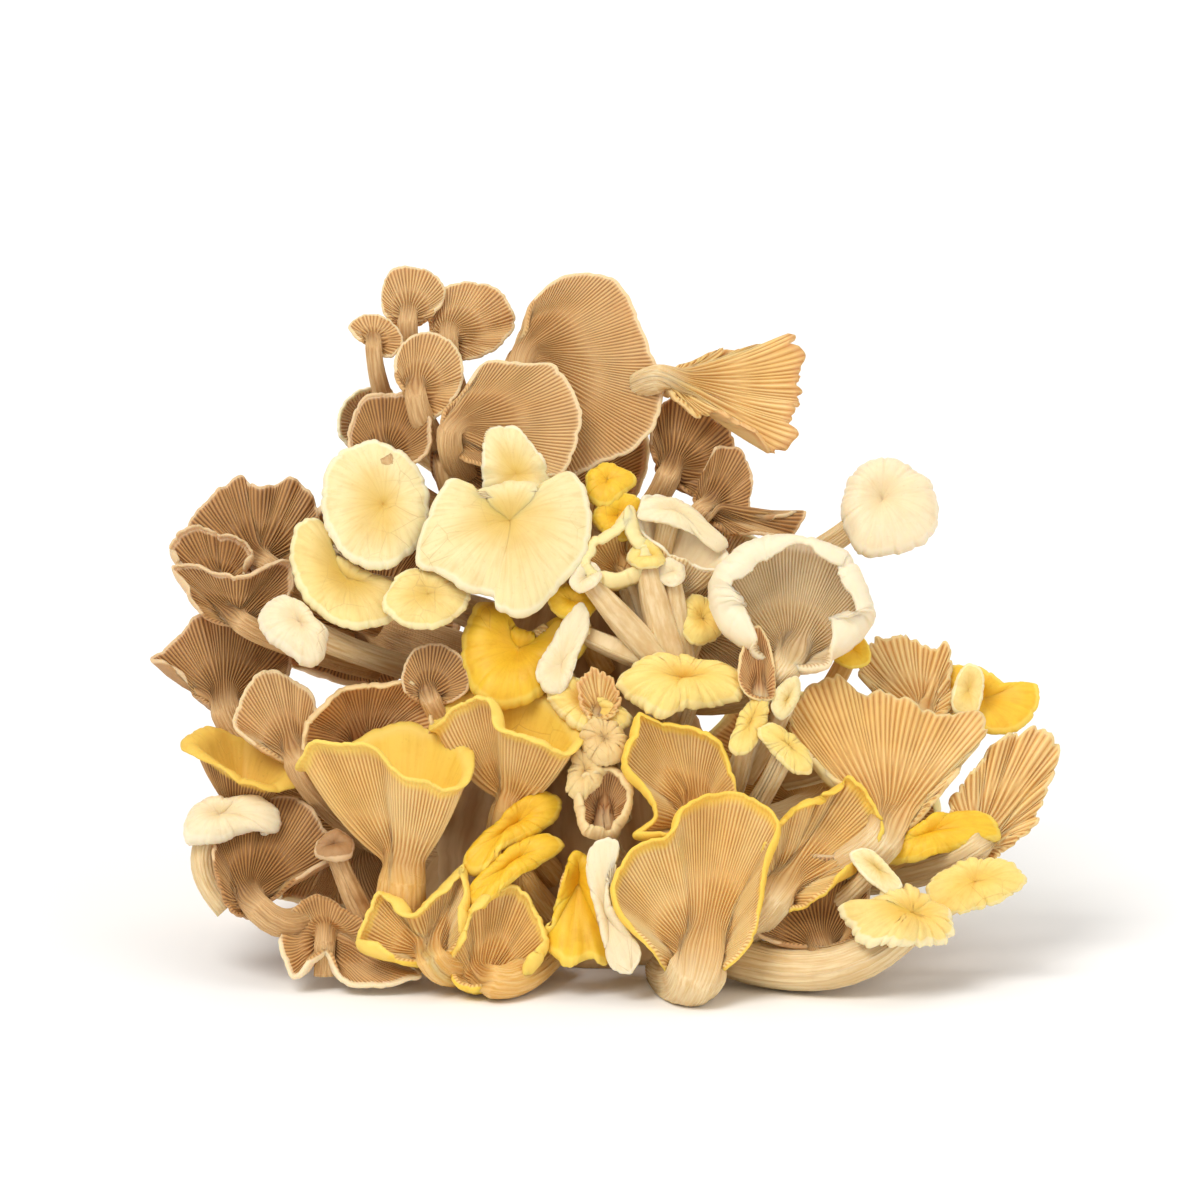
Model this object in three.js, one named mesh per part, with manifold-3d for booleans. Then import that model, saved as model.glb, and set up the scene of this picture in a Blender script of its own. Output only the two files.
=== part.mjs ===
// Cluster of oyster mushrooms, golden, tan and white, heaped on a fused stem base.
// Units are millimetres, +Z is up, the front of the heap faces -Y and it rests on z = 0.
import * as THREE from 'three';
import Module from 'manifold-3d';
import { mergeVertices } from 'three/addons/utils/BufferGeometryUtils.js';

// Overall sizes.
const WIDTH_SCALE = 1.0;
const HEIGHT_SCALE = 1.0;
const DEPTH_SCALE = 1.0;
// The front of the heap leans back, and its lowest rims rest on the floor.
const LEAN_DEGREES = 12;
const FLOOR_DROP = 16;
// Fits and thicknesses.
const GAP = 0.8;
const SMALLEST_DETAIL = 0.1;
const SHORTEST_EDGE = 0.06;
const THINNEST_TRIANGLE = 0.006;
const MOST_REPAIRS = 300;
const THICKNESS_SCALE = 1.0;
const STEM_SCALE = 1.0;
// Fused base of the cluster.
const BASE_RADIUS = 44;
const BASE_TOP_RADIUS = 9;
const BASE_HEIGHT = 160;
const BASE_CENTRE = [-8, 0];
const BASE_WIDENING = 1.35;
const BASE_LEAN = 12;
const BASE_TAPER = 1.3;
const BASE_TIP = 4;
const BASE_SIDES = 16;
const BASE_LEVELS = [0, 0.08, 0.3, 0.55, 0.8, 1];
const BASE_LUMPS = [[3, 1, 0.08], [5, 2, 0.06]];
const MEETING_VOLUME = 0.004;
const WIDER_CUTS = [2, 3, 4];
// How finely each fruit body is shaped: points round the cap and the stem, and rings along
// them as shares of the way from the neck to the rim.
const AROUND = 10;
const RIM_STEPS = 16;
const STEM_RINGS = 4;
const STEM_SIDES = 8;
const UNDER_RINGS = [0.3, 0.68, 1.0];
const TOP_RINGS = [0.97, 0.62];
const CENTRE_RING = 0.3;
const STEP = 0.01;
// The curled edge: how far it turns at most, in radians, and how thick it stays.
const MOST_CURL = 1.7;
const LEAST_CURL_SHARE = 0.1;
const MOST_LIP_SHARE = 0.3;
const LIP_HALF_THICKNESS = 0.4;
// Beside the stem the rim neither curls nor waves: shares of the cap's reach.
const CURL_FROM = 0.3;
const CURL_TO = 0.6;
const LEVEL_UNTIL = 0.55;
// How far the stem runs into the cap's flesh.
const STEM_TIP = 1.6;
// Any direction that no stem points along.
const SIDEWAYS = [0.3, 0.5, 0.81];
// The slab below the floor that trims what reaches under it.
const SLAB_HALF = 400;
const SLAB_DEPTH = 300;

// Every fruit body is laid out on the leaning front as [across, up, towards the front].
// rim: points round the cap's edge; neck: where the gills run together; foot: the stem's end;
// via: where the stem bends; top: which way the smooth side faces; roll: how far the edge curls.
const FRUIT_BODIES = [
  {
    name: 'fan_top_left',
    rim: [
      [-79, 240, 14], [-79, 250, 10], [-76, 255, 8], [-67, 256, 6], [-60, 253, 8], [-57, 246, 11],
      [-62, 238, 16], [-72, 234, 18],
    ],
    neck: [-70, 239, 21], via: [-71, 225, 22], foot: [-63, 206, -2], top: [0, 0.3, -1],
    stem: [4, 3.6], thick: [3, 1.4], lip: 1.2, roll: 20, wave: [3, 0.6], belly: 2, look: 'tan',
  },
  {
    name: 'fan_top_round',
    rim: [
      [-61, 232, 15], [-63, 241, 11], [-57, 249, 7], [-46, 251, 5], [-36, 246, 7], [-32, 236, 11],
      [-38, 227, 16], [-50, 223, 19],
    ],
    neck: [-56, 233, 20], via: [-56, 217, 21], foot: [-48, 200, -6], top: [0, 0.3, -1],
    stem: [4, 3.6], thick: [3, 1.4], lip: 1.2, roll: 20, wave: [4, 0.6], belly: 3, look: 'tan',
  },
  {
    name: 'fan_top_small',
    rim: [
      [-91, 234, 28], [-87, 238, 26], [-80, 238, 26], [-73, 233, 28], [-72, 227, 31], [-77, 223, 33],
      [-85, 228, 33],
    ],
    neck: [-82, 230, 33], via: [-82, 214, 32], foot: [-74, 198, 12], top: [-0.2, 0.3, -1],
    stem: [3.4, 3], thick: [2.6, 1.2], lip: 1, roll: 15, wave: [3, 0.5], belly: 1.5, look: 'tan',
  },
  {
    name: 'fan_round_left',
    rim: [
      [-73, 214, 38], [-74, 224, 34], [-66, 232, 30], [-56, 230, 30], [-50, 220, 33], [-53, 208, 38],
      [-62, 201, 41],
    ],
    neck: [-67, 212, 41], via: [-67, 201, 44], foot: [-56, 186, 22], top: [0, 0.3, -1],
    stem: [5, 4], thick: [3, 1.4], lip: 1.2, roll: 15, wave: [4, 0.5], belly: 3, look: 'tan',
  },
  {
    name: 'fan_arch',
    rim: [
      [-91, 190, 43], [-90, 200, 40], [-86, 208, 37], [-78, 210, 36], [-68, 210, 37], [-62, 203, 40],
      [-61, 190, 44], [-68, 185, 47], [-82, 185, 46],
    ],
    neck: [-78, 188, 47], via: [-76, 179, 51], foot: [-60, 170, 26], top: [0, 0.4, -1],
    stem: [4, 4], thick: [3, 1.6], lip: 1.8, roll: 55, wave: [3, 0.8], belly: 3, look: 'brown',
  },
  {
    name: 'cap_behind_arch',
    rim: [
      [-95, 196, 22], [-93, 208, 18], [-85, 213, 13], [-76, 212, 6], [-74, 198, 2], [-84, 189, 14],
    ],
    neck: [-81, 199, 2], via: [-70, 194, -8], foot: [-54, 184, -18], top: [-0.8, 0.2, 0.6],
    stem: [5, 4], thick: [3, 1.5], lip: 1.4, roll: 40, belly: 2, look: 'primrose',
  },
  {
    name: 'fan_broad',
    rim: [
      [-57, 203, 42], [-50, 211, 39], [-43, 221, 35], [-38, 222, 34], [-28, 221, 35], [-18, 220, 35],
      [-12, 213, 37], [-8, 202, 41], [-10, 191, 45], [-16, 181, 49], [-28, 182, 49], [-44, 184, 50],
      [-56, 192, 48],
    ],
    neck: [-54, 199, 50], via: [-59, 187, 53], foot: [-40, 172, 8], top: [0, 0.4, -1],
    stem: [5, 4.5], thick: [4, 1.6], lip: 1.6, roll: 30, wave: [2, 0.6], belly: 4, look: 'tan',
  },
  {
    name: 'fan_biggest',
    rim: [
      [-28, 233, 25], [-26, 243, 21], [-18, 251, 17], [-6, 254, 14], [5, 251, 16], [11, 240, 19],
      [16, 227, 23], [21, 213, 27], [19, 200, 31], [10, 190, 34], [0, 186, 36], [-13, 181, 38],
      [-22, 190, 35], [-28, 205, 31], [-34, 220, 28],
    ],
    neck: [-30, 225, 32], via: [-34, 206, 33], foot: [-22, 176, 2], top: [0, 0.35, -1],
    stem: [6, 5], thick: [4.5, 1.6], lip: 1.6, roll: 30, wave: [2, 1], belly: 5, look: 'tan',
  },
  {
    name: 'fan_brown_middle',
    rim: [
      [-61, 192, 32], [-55, 198, 28], [-45, 197, 28], [-38, 187, 31], [-41, 177, 35], [-52, 175, 37],
      [-60, 181, 36],
    ],
    neck: [-57, 188, 38], via: [-57, 175, 41], foot: [-44, 160, 10], top: [0, 0.4, -1],
    stem: [5, 4], thick: [3, 1.4], lip: 1.2, roll: 20, wave: [4, 0.7], belly: 2, look: 'brown',
  },
  {
    name: 'cap_left_pale',
    rim: [
      [-100, 172, 54], [-99, 183, 50], [-92, 191, 47], [-82, 194, 46], [-75, 191, 47], [-70, 189, 48],
      [-64, 181, 50], [-61, 170, 54], [-64, 158, 58], [-70, 152, 60], [-78, 148, 62], [-88, 150, 61],
      [-95, 157, 59], [-99, 164, 56],
    ],
    neck: [-77, 170, 50], via: [-70, 166, 34], foot: [-48, 158, 12], top: [-0.15, 0.35, 1],
    stem: [6, 5], thick: [4.5, 1.8], lip: 2.2, roll: 75, wave: [2, 0.6], belly: 2, dimple: 2.4, look: 'primrose',
  },
  {
    name: 'cap_big_pale',
    rim: [
      [-66, 150, 66], [-64, 164, 62], [-60, 173, 59], [-54, 180, 57], [-49, 175, 58], [-41, 177, 57],
      [-27, 179, 56], [-18, 178, 56], [-12, 183, 54], [-6, 175, 57], [-4, 163, 61], [-8, 150, 66],
      [-16, 141, 69], [-24, 133, 72], [-32, 131, 73], [-38, 134, 72], [-39, 138, 71], [-48, 140, 71],
      [-58, 146, 68],
    ],
    neck: [-33, 166, 57], via: [-32, 156, 40], foot: [-22, 144, 20], top: [0.05, 0.35, 1],
    stem: [8, 7], thick: [5, 1.8], lip: 2.2, roll: 70, wave: [3, 0.8], belly: 3, dimple: 2, look: 'primrose',
  },
  {
    name: 'cap_torn_pale',
    rim: [
      [-42, 175, 52], [-43, 189, 49], [-42, 197, 47], [-33, 199, 46], [-27, 194, 47], [-21, 186, 48],
      [-18, 180, 49], [-24, 173, 52], [-34, 171, 54],
    ],
    neck: [-31, 180, 50], via: [-28, 168, 45], foot: [-20, 158, 14], top: [0, 0.3, 1],
    stem: [5, 4], thick: [3.2, 1.6], lip: 1.6, roll: 40, wave: [3, 0.8], belly: 1, look: 'primrose',
  },
  {
    name: 'cap_long_yellow',
    rim: [
      [-111, 157, 50], [-108, 165, 47], [-102, 166, 46], [-97, 157, 49], [-94, 152, 51],
      [-82, 146, 54], [-72, 142, 56], [-69, 136, 59], [-74, 131, 62], [-88, 127, 64], [-101, 133, 61],
      [-109, 144, 56],
    ],
    neck: [-90, 143, 48], via: [-80, 140, 34], foot: [-54, 136, 18], top: [-0.25, 0.3, 1],
    stem: [6, 5], thick: [4.2, 1.8], lip: 2, roll: 70, wave: [2, 0.6], belly: 2.5, look: 'yellowish',
  },
  {
    name: 'cap_under_yellow',
    rim: [
      [-76, 142, 64], [-68, 149, 61], [-57, 146, 61], [-47, 140, 63], [-50, 133, 67], [-61, 127, 70],
      [-72, 129, 69], [-78, 135, 67],
    ],
    neck: [-62, 138, 60], via: [-56, 136, 44], foot: [-40, 130, 24], top: [-0.05, 0.5, 1],
    stem: [6, 5], thick: [3.6, 1.7], lip: 1.8, roll: 65, wave: [2, 0.6], belly: 2, look: 'yellowish',
  },
  {
    name: 'trumpet_top_right',
    rim: [
      [17, 219, 26], [30, 222, 20], [43, 226, 16], [56, 229, 14], [68, 231, 12], [72, 224, 16],
      [70, 214, 22], [72, 207, 25], [66, 200, 30], [69, 196, 32], [64, 189, 35], [54, 195, 36],
      [44, 201, 37], [30, 205, 36],
    ],
    neck: [24, 216, 32], via: [13, 216, 27], foot: [2, 206, 10], top: [-0.1, 0.5, -1],
    stem: [5, 5], thick: [4, 1.5], lip: 1, roll: 10, wave: [5, 1.8], belly: 3, look: 'straw',
  },
  {
    name: 'fan_dark_right',
    rim: [
      [17, 200, 24], [22, 208, 20], [34, 206, 18], [44, 198, 20], [47, 188, 26], [42, 178, 32],
      [32, 175, 34], [22, 180, 32], [17, 190, 28],
    ],
    neck: [24, 184, 32], via: [20, 172, 34], foot: [8, 160, 6], top: [0.1, 0.3, -1],
    stem: [4.5, 4.5], thick: [3.2, 1.4], lip: 1.2, roll: 20, wave: [5, 2], belly: 3, look: 'brown',
  },
  {
    name: 'fan_right_small',
    rim: [
      [32, 172, 38], [36, 184, 34], [42, 192, 31], [49, 190, 31], [53, 180, 34], [52, 170, 38],
      [58, 165, 40], [72, 168, 40], [66, 160, 42], [50, 160, 45], [38, 164, 45],
    ],
    neck: [37, 171, 44], via: [29, 160, 46], foot: [12, 150, 16], top: [0.2, 0.3, -1],
    stem: [4, 4], thick: [3, 1.4], lip: 1.2, roll: 20, wave: [5, 1.6], belly: 3, look: 'brown',
  },
  {
    name: 'cap_far_right_white',
    rim: [
      [84, 172, 40], [87, 182, 36], [95, 188, 33], [107, 187, 32], [116, 180, 34], [120, 170, 38],
      [116, 159, 43], [108, 155, 45], [92, 153, 46], [86, 160, 44],
    ],
    neck: [98, 172, 32], via: [84, 156, 26], foot: [60, 146, 16], top: [0.1, 0.3, 1],
    stem: [4, 4], thick: [5, 2.4], lip: 2.6, roll: 80, wave: [2, 0.8], belly: 4, dimple: 2.4, look: 'ivory',
  },
  {
    name: 'cap_curled_white',
    rim: [
      [37, 128, 66], [35, 145, 62], [45, 156, 59], [58, 161, 57], [72, 160, 56], [86, 155, 56],
      [94, 144, 58], [98, 130, 61], [90, 120, 65], [76, 112, 69], [62, 114, 70], [48, 120, 69],
    ],
    neck: [66, 117, 64], via: [58, 101, 66], foot: [34, 102, 30], top: [0.1, 0.2, -1],
    stem: [6, 6], thick: [5, 3], lip: 6, roll: 150, wave: [2, 1], belly: 6, look: 'ivory',
  },
  {
    name: 'cap_bright_small',
    rim: [
      [-7, 178, 50], [-5, 184, 46], [2, 186, 44], [10, 183, 46], [12, 180, 48], [6, 174, 52],
      [1, 170, 54], [-5, 172, 52],
    ],
    neck: [1, 178, 45], via: [0, 165, 32], foot: [-4, 150, 16], top: [0, 0.3, 1],
    stem: [5, 4.5], thick: [3, 1.6], lip: 2, roll: 60, wave: [2, 0.5], belly: 2, look: 'golden',
  },
  {
    name: 'loop_curl',
    rim: [
      [-11, 150, 62], [-7, 158, 59], [3, 164, 56], [9, 171, 52], [13, 162, 56], [18, 155, 58],
      [17, 147, 61], [9, 143, 64], [-1, 141, 65], [-8, 144, 64],
    ],
    neck: [8, 146, 50], via: [14, 130, 52], foot: [20, 112, 34], top: [-0.1, 0.2, -1],
    stem: [5.5, 5], thick: [4, 3], lip: 3, roll: 110, wave: [2, 0.6], belly: 4, look: 'loop',
  },
  {
    name: 'trumpet_pale_middle',
    rim: [
      [12, 166, 52], [16, 174, 48], [24, 172, 47], [32, 166, 49], [38, 160, 51], [44, 153, 54],
      [42, 147, 57], [34, 150, 58], [26, 152, 58], [18, 158, 56],
    ],
    neck: [22, 138, 54], via: [25, 124, 54], foot: [22, 108, 34], top: [0, 1, 0.1],
    stem: [7, 5.5], thick: [4, 1.6], lip: 2.6, roll: 60, wave: [4, 1.2], belly: -5, look: 'ivory',
  },
  {
    name: 'fan_ruffled_left',
    rim: [
      [-151, 160, 18], [-146, 168, 15], [-138, 176, 12], [-130, 182, 9], [-124, 176, 10],
      [-112, 181, 8], [-105, 174, 9], [-102, 163, 14], [-107, 151, 22], [-120, 146, 28],
      [-136, 150, 26],
    ],
    neck: [-123, 151, 30], via: [-113, 140, 34], foot: [-82, 130, 4], top: [-0.2, 0.5, -1],
    stem: [6, 5], thick: [3.6, 1.5], lip: 1.6, roll: 20, wave: [6, 2], belly: 4, look: 'brown',
  },
  {
    name: 'fan_left_upper',
    rim: [
      [-155, 152, 34], [-152, 160, 31], [-144, 163, 30], [-136, 160, 31], [-128, 158, 32],
      [-124, 152, 34], [-128, 144, 38], [-136, 139, 41], [-148, 145, 38],
    ],
    neck: [-137, 143, 40], via: [-130, 131, 43], foot: [-92, 122, 12], top: [-0.2, 0.6, -1],
    stem: [4, 4], thick: [3.2, 1.5], lip: 2.2, roll: 70, wave: [5, 1.2], belly: 3, look: 'brown',
  },
  {
    name: 'fan_left_middle',
    rim: [
      [-154, 148, 38], [-146, 150, 42], [-136, 147, 46], [-128, 146, 47], [-120, 150, 43],
      [-112, 151, 39], [-110, 142, 40], [-114, 132, 44], [-124, 127, 47], [-138, 129, 47],
      [-146, 134, 44], [-150, 141, 41],
    ],
    neck: [-130, 130, 50], via: [-118, 121, 52], foot: [-82, 112, 14], top: [-0.2, 0.6, -1],
    stem: [4, 4], thick: [3.2, 1.5], lip: 2.4, roll: 70, wave: [3, 1], belly: 3, look: 'brown',
  },
  {
    name: 'fan_big_left',
    rim: [
      [-162, 116, 24], [-154, 122, 20], [-147, 129, 16], [-135, 133, 14], [-122, 130, 16],
      [-113, 121, 22], [-112, 110, 28], [-121, 101, 34], [-130, 96, 37], [-138, 97, 36],
      [-146, 104, 32], [-153, 112, 27],
    ],
    neck: [-135, 101, 38], via: [-133, 82, 41], foot: [-94, 74, 24], top: [-0.2, 0.4, -1],
    stem: [5.5, 6], thick: [3.8, 1.5], lip: 1.6, roll: 25, wave: [5, 1.6], belly: 4, look: 'brown',
  },
  {
    name: 'cap_curled_left',
    rim: [
      [-123, 131, 62], [-118, 139, 58], [-109, 139, 58], [-102, 132, 61], [-97, 125, 64],
      [-98, 117, 67], [-104, 114, 69], [-112, 119, 68], [-119, 124, 66],
    ],
    neck: [-107, 128, 57], via: [-96, 120, 50], foot: [-68, 112, 24], top: [-0.2, 0.8, 0.7],
    stem: [4.5, 4.5], thick: [3.4, 2], lip: 3, roll: 100, wave: [2, 0.6], belly: 3, look: 'ivory',
  },
  {
    name: 'fan_left_low',
    rim: [
      [-131, 92, 56], [-128, 103, 52], [-120, 112, 49], [-110, 109, 50], [-102, 101, 53],
      [-103, 88, 58], [-106, 78, 62], [-114, 81, 62], [-124, 86, 59],
    ],
    neck: [-109, 82, 63], via: [-106, 70, 67], foot: [-88, 56, 34], top: [0, 0.4, -1],
    stem: [5, 4.5], thick: [3.4, 1.5], lip: 1.6, roll: 35, wave: [4, 1], belly: 4, look: 'tan',
  },
  {
    name: 'fan_concave',
    rim: [
      [-107, 82, 62], [-106, 94, 60], [-99, 103, 58], [-88, 108, 56], [-78, 109, 56], [-68, 109, 58],
      [-60, 101, 60], [-60, 90, 58], [-70, 80, 50], [-86, 76, 46], [-100, 76, 52],
    ],
    neck: [-84, 82, 47], via: [-80, 70, 44], foot: [-60, 56, 24], top: [0, 0.7, -1],
    stem: [5, 5], thick: [4, 1.8], lip: 2.2, roll: 75, wave: [5, 1.4], belly: 5, look: 'honeybrown',
  },
  {
    name: 'fan_yellow_rim_left',
    rim: [
      [-145, 87, 60], [-137, 80, 64], [-127, 75, 66], [-116, 73, 64], [-110, 78, 58], [-117, 83, 48],
      [-128, 89, 42], [-139, 92, 48],
    ],
    neck: [-127, 62, 52], via: [-124, 50, 52], foot: [-98, 44, 26], top: [0, 1, 0.15],
    stem: [5, 5], thick: [3.6, 1.8], lip: 3.6, roll: 100, wave: [2, 0.6], belly: -3, look: 'goldrim',
  },
  {
    name: 'cap_curled_low_left',
    rim: [
      [-149, 60, 66], [-142, 69, 61], [-132, 67, 62], [-122, 69, 61], [-114, 64, 64], [-114, 57, 68],
      [-125, 56, 70], [-137, 52, 72], [-147, 53, 70],
    ],
    neck: [-136, 59, 60], via: [-148, 44, 62], foot: [-133, 28, 62], top: [-0.1, 1, 0.6],
    stem: [4.5, 4.5], thick: [3.2, 2], lip: 3, roll: 100, wave: [2, 0.8], belly: 4, look: 'ivory',
  },
  {
    name: 'fan_brown_low_left',
    rim: [
      [-138, 50, 66], [-133, 61, 61], [-121, 67, 57], [-108, 67, 56], [-99, 57, 60], [-92, 48, 64],
      [-104, 41, 69], [-114, 34, 73], [-122, 27, 77], [-131, 28, 76], [-136, 39, 72],
    ],
    neck: [-125, 33, 76], via: [-108, 10, 80], foot: [-96, 40, 42], top: [0, 0.4, -1],
    stem: [4.5, 5], thick: [3.2, 1.4], lip: 1.6, roll: 30, wave: [5, 1.4], belly: 4, look: 'brown',
  },
  {
    name: 'fan_bottom_left',
    rim: [
      [-108, 4, 84], [-114, 16, 78], [-109, 28, 70], [-101, 33, 66], [-92, 29, 68], [-83, 22, 72],
      [-74, 14, 77], [-64, 5, 83], [-78, 1, 86], [-91, 3, 86], [-97, 13, 82], [-102, 10, 84],
    ],
    neck: [-98, 22, 76], via: [-98, 13, 77], foot: [-98, 5, 76], top: [0, 0.6, -0.8],
    stem: [3.5, 3.5], thick: [4, 2.2], lip: 2, roll: 40, wave: [4, 0.8], belly: 5, look: 'ivorybrown',
  },
  {
    name: 'trumpet_front_left',
    rim: [
      [-106, 80, 78], [-101, 87, 84], [-90, 87, 88], [-79, 86, 89], [-72, 79, 91], [-63, 74, 91],
      [-52, 71, 87], [-47, 77, 79], [-50, 88, 68], [-62, 93, 59], [-78, 91, 55], [-92, 86, 59],
      [-102, 81, 67],
    ],
    neck: [-70, 45, 77], via: [-72, 28, 76], foot: [-72, 8, 64], top: [0, 1, 0.1],
    stem: [9.5, 8.5], thick: [5, 2], lip: 3.2, roll: 75, wave: [3, 1], belly: -5, look: 'goldhoney',
  },
  {
    name: 'trumpet_middle_left',
    rim: [
      [-60, 92, 68], [-51, 100, 72], [-43, 104, 75], [-37, 100, 79], [-35, 94, 82], [-28, 91, 84],
      [-20, 87, 85], [-12, 83, 82], [-8, 89, 75], [-13, 98, 68], [-25, 106, 61], [-38, 109, 58],
      [-51, 104, 59], [-59, 97, 62],
    ],
    neck: [-32, 68, 65], via: [-35, 53, 64], foot: [-38, 38, 50], top: [0, 1, 0.1],
    stem: [7, 6.5], thick: [4.5, 2], lip: 3, roll: 80, wave: [3, 1], belly: -5, look: 'goldhoney',
  },
  {
    name: 'cap_golden_middle',
    rim: [
      [-51, 116, 62], [-50, 128, 57], [-45, 136, 53], [-38, 137, 52], [-31, 127, 56], [-20, 127, 56],
      [-8, 133, 54], [-4, 124, 58], [-14, 112, 64], [-22, 104, 68], [-36, 99, 70], [-46, 104, 67],
    ],
    neck: [-30, 118, 52], via: [-24, 108, 42], foot: [-12, 94, 24], top: [0, 0.6, 1],
    stem: [7, 6], thick: [4.2, 1.8], lip: 3, roll: 80, wave: [3, 1], belly: 4, look: 'golden',
  },
  {
    name: 'band_ruffled_middle',
    rim: [
      [-20, 106, 70], [-13, 111, 67], [-4, 107, 68], [4, 101, 70], [10, 96, 72], [2, 89, 76],
      [-8, 92, 76], [-16, 98, 73],
    ],
    neck: [-6, 98, 62], via: [-4, 86, 50], foot: [2, 70, 28], top: [0, 0.8, 0.8],
    stem: [6, 5], thick: [3.6, 1.8], lip: 2.4, roll: 60, wave: [3, 0.6], belly: 3, look: 'honeygold',
  },
  {
    name: 'band_golden_upper',
    rim: [
      [-50, 44, 80], [-47, 51, 78], [-36, 60, 74], [-24, 70, 70], [-15, 68, 70], [-17, 61, 74],
      [-26, 55, 78], [-36, 50, 82], [-43, 42, 84],
    ],
    neck: [-31, 56, 68], via: [-27, 48, 58], foot: [-18, 38, 36], top: [-0.3, 1, 0.6],
    stem: [6, 5.5], thick: [3.6, 2.4], lip: 2.4, roll: 85, wave: [2, 0.8], belly: 3, look: 'golden',
  },
  {
    name: 'band_golden_lower',
    rim: [
      [-49, 33, 86], [-44, 41, 84], [-33, 49, 80], [-20, 56, 77], [-14, 52, 79], [-22, 46, 83],
      [-32, 40, 87], [-42, 31, 90],
    ],
    neck: [-31, 43, 76], via: [-27, 32, 64], foot: [-16, 22, 42], top: [-0.3, 1, 0.6],
    stem: [6, 5.5], thick: [3.6, 2.4], lip: 2.4, roll: 85, wave: [2, 0.8], belly: 3, look: 'golden',
  },
  {
    name: 'fan_golden_low_left',
    rim: [
      [-87, 14, 86], [-84, 27, 84], [-79, 35, 82], [-72, 33, 83], [-68, 28, 85], [-60, 35, 82],
      [-49, 44, 78], [-46, 36, 82], [-47, 24, 87], [-53, 14, 90], [-62, 10, 92], [-74, 11, 92],
    ],
    neck: [-61, 14, 92], via: [-59, 3, 94], foot: [-34, 10, 46], top: [-0.1, 0.7, -0.6],
    stem: [6, 5.5], thick: [4, 2.2], lip: 3.4, roll: 90, wave: [3, 1.2], belly: 5, look: 'goldhoney',
  },
  {
    name: 'fan_golden_front',
    rim: [
      [-54, 7, 89], [-53, 18, 87], [-48, 29, 85], [-40, 36, 82], [-30, 37, 80], [-23, 29, 82],
      [-18, 17, 86], [-22, 8, 90], [-32, 3, 93], [-44, 1, 94], [-51, 2, 92],
    ],
    neck: [-42, 5, 94], via: [-32, -1, 97], foot: [-18, 14, 62], top: [-0.2, 0.6, -0.7],
    stem: [6, 6], thick: [4, 2.2], lip: 3.2, roll: 85, wave: [3, 1.2], belly: 7, look: 'goldhoney',
  },
  {
    name: 'cap_torn_golden',
    rim: [
      [-20, 16, 90], [-17, 28, 87], [-14, 40, 84], [-10, 49, 81], [-4, 45, 82], [-1, 32, 86],
      [1, 20, 89], [1, 10, 91], [-6, 12, 92], [-12, 9, 92], [-18, 13, 91],
    ],
    neck: [-9, 40, 74], via: [-4, 26, 62], foot: [2, 14, 40], top: [-0.2, 0.2, 1],
    stem: [5, 4.5], thick: [4, 2], lip: 2.6, roll: 60, wave: [3, 1.6], belly: 2, look: 'golden',
  },
  {
    name: 'trumpet_front',
    rim: [
      [1, 36, 96], [6, 47, 92], [14, 53, 90], [22, 56, 89], [25, 63, 86], [33, 68, 84], [44, 70, 81],
      [55, 66, 82], [62, 58, 85], [58, 45, 91], [55, 28, 98], [49, 15, 102], [39, 7, 104],
      [25, 7, 104], [14, 18, 103], [4, 27, 100],
    ],
    neck: [34, 13, 102], via: [31, -2, 105], foot: [24, 4, 60], top: [-0.1, 0.75, -0.6],
    stem: [10, 10], thick: [5, 2], lip: 2.8, roll: 70, wave: [4, 1.2], belly: 8, look: 'honeyrim',
  },
  {
    name: 'fan_golden_rim',
    rim: [
      [8, 53, 86], [16, 61, 85], [12, 70, 83], [4, 79, 81], [7, 88, 78], [11, 98, 75], [20, 95, 74],
      [30, 94, 73], [40, 89, 74], [46, 77, 77], [46, 66, 80], [36, 58, 85], [22, 52, 87],
    ],
    neck: [33, 62, 76], via: [33, 46, 77], foot: [22, 40, 44], top: [-0.3, 0.5, -0.9],
    stem: [6, 6], thick: [4.5, 2], lip: 3.2, roll: 80, wave: [3, 1], belly: 6, look: 'honeyrim',
  },
  {
    name: 'fan_ruffled_rim',
    rim: [
      [57, 54, 83], [62, 62, 79], [70, 67, 76], [77, 70, 74], [87, 74, 71], [94, 68, 72], [99, 56, 76],
      [94, 46, 80], [85, 39, 84], [72, 31, 89], [60, 27, 91], [54, 38, 88],
    ],
    neck: [62, 37, 85], via: [54, 22, 86], foot: [34, 14, 50], top: [0.3, 0.6, -0.7],
    stem: [7, 7], thick: [4.5, 2], lip: 3.2, roll: 85, wave: [6, 1.8], belly: 7, look: 'honeyrim',
  },
  {
    name: 'curls_pale',
    rim: [
      [-11, 72, 79], [-6, 78, 76], [4, 79, 75], [10, 74, 77], [11, 66, 79], [7, 56, 82], [0, 52, 84],
      [-8, 54, 83], [-11, 62, 81],
    ],
    neck: [0, 61, 73], via: [0, 48, 76], foot: [8, 42, 44], top: [0.1, 0.3, -1],
    stem: [4, 4], thick: [3.4, 2.4], lip: 2.6, roll: 90, wave: [2, 0.6], belly: 3, look: 'curl',
  },
  {
    name: 'cap_golden_right',
    rim: [
      [4, 109, 74], [10, 116, 70], [20, 119, 68], [32, 118, 67], [44, 115, 68], [51, 109, 71],
      [48, 103, 75], [38, 101, 78], [28, 100, 79], [21, 96, 81], [12, 101, 79],
    ],
    neck: [28, 107, 62], via: [24, 94, 50], foot: [16, 78, 28], top: [0, 0.9, 0.6],
    stem: [8, 7], thick: [4.6, 2.2], lip: 3, roll: 95, wave: [3, 1], belly: 5, dimple: 2, look: 'honeygold',
  },
  {
    name: 'fan_ribbed_right',
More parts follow.
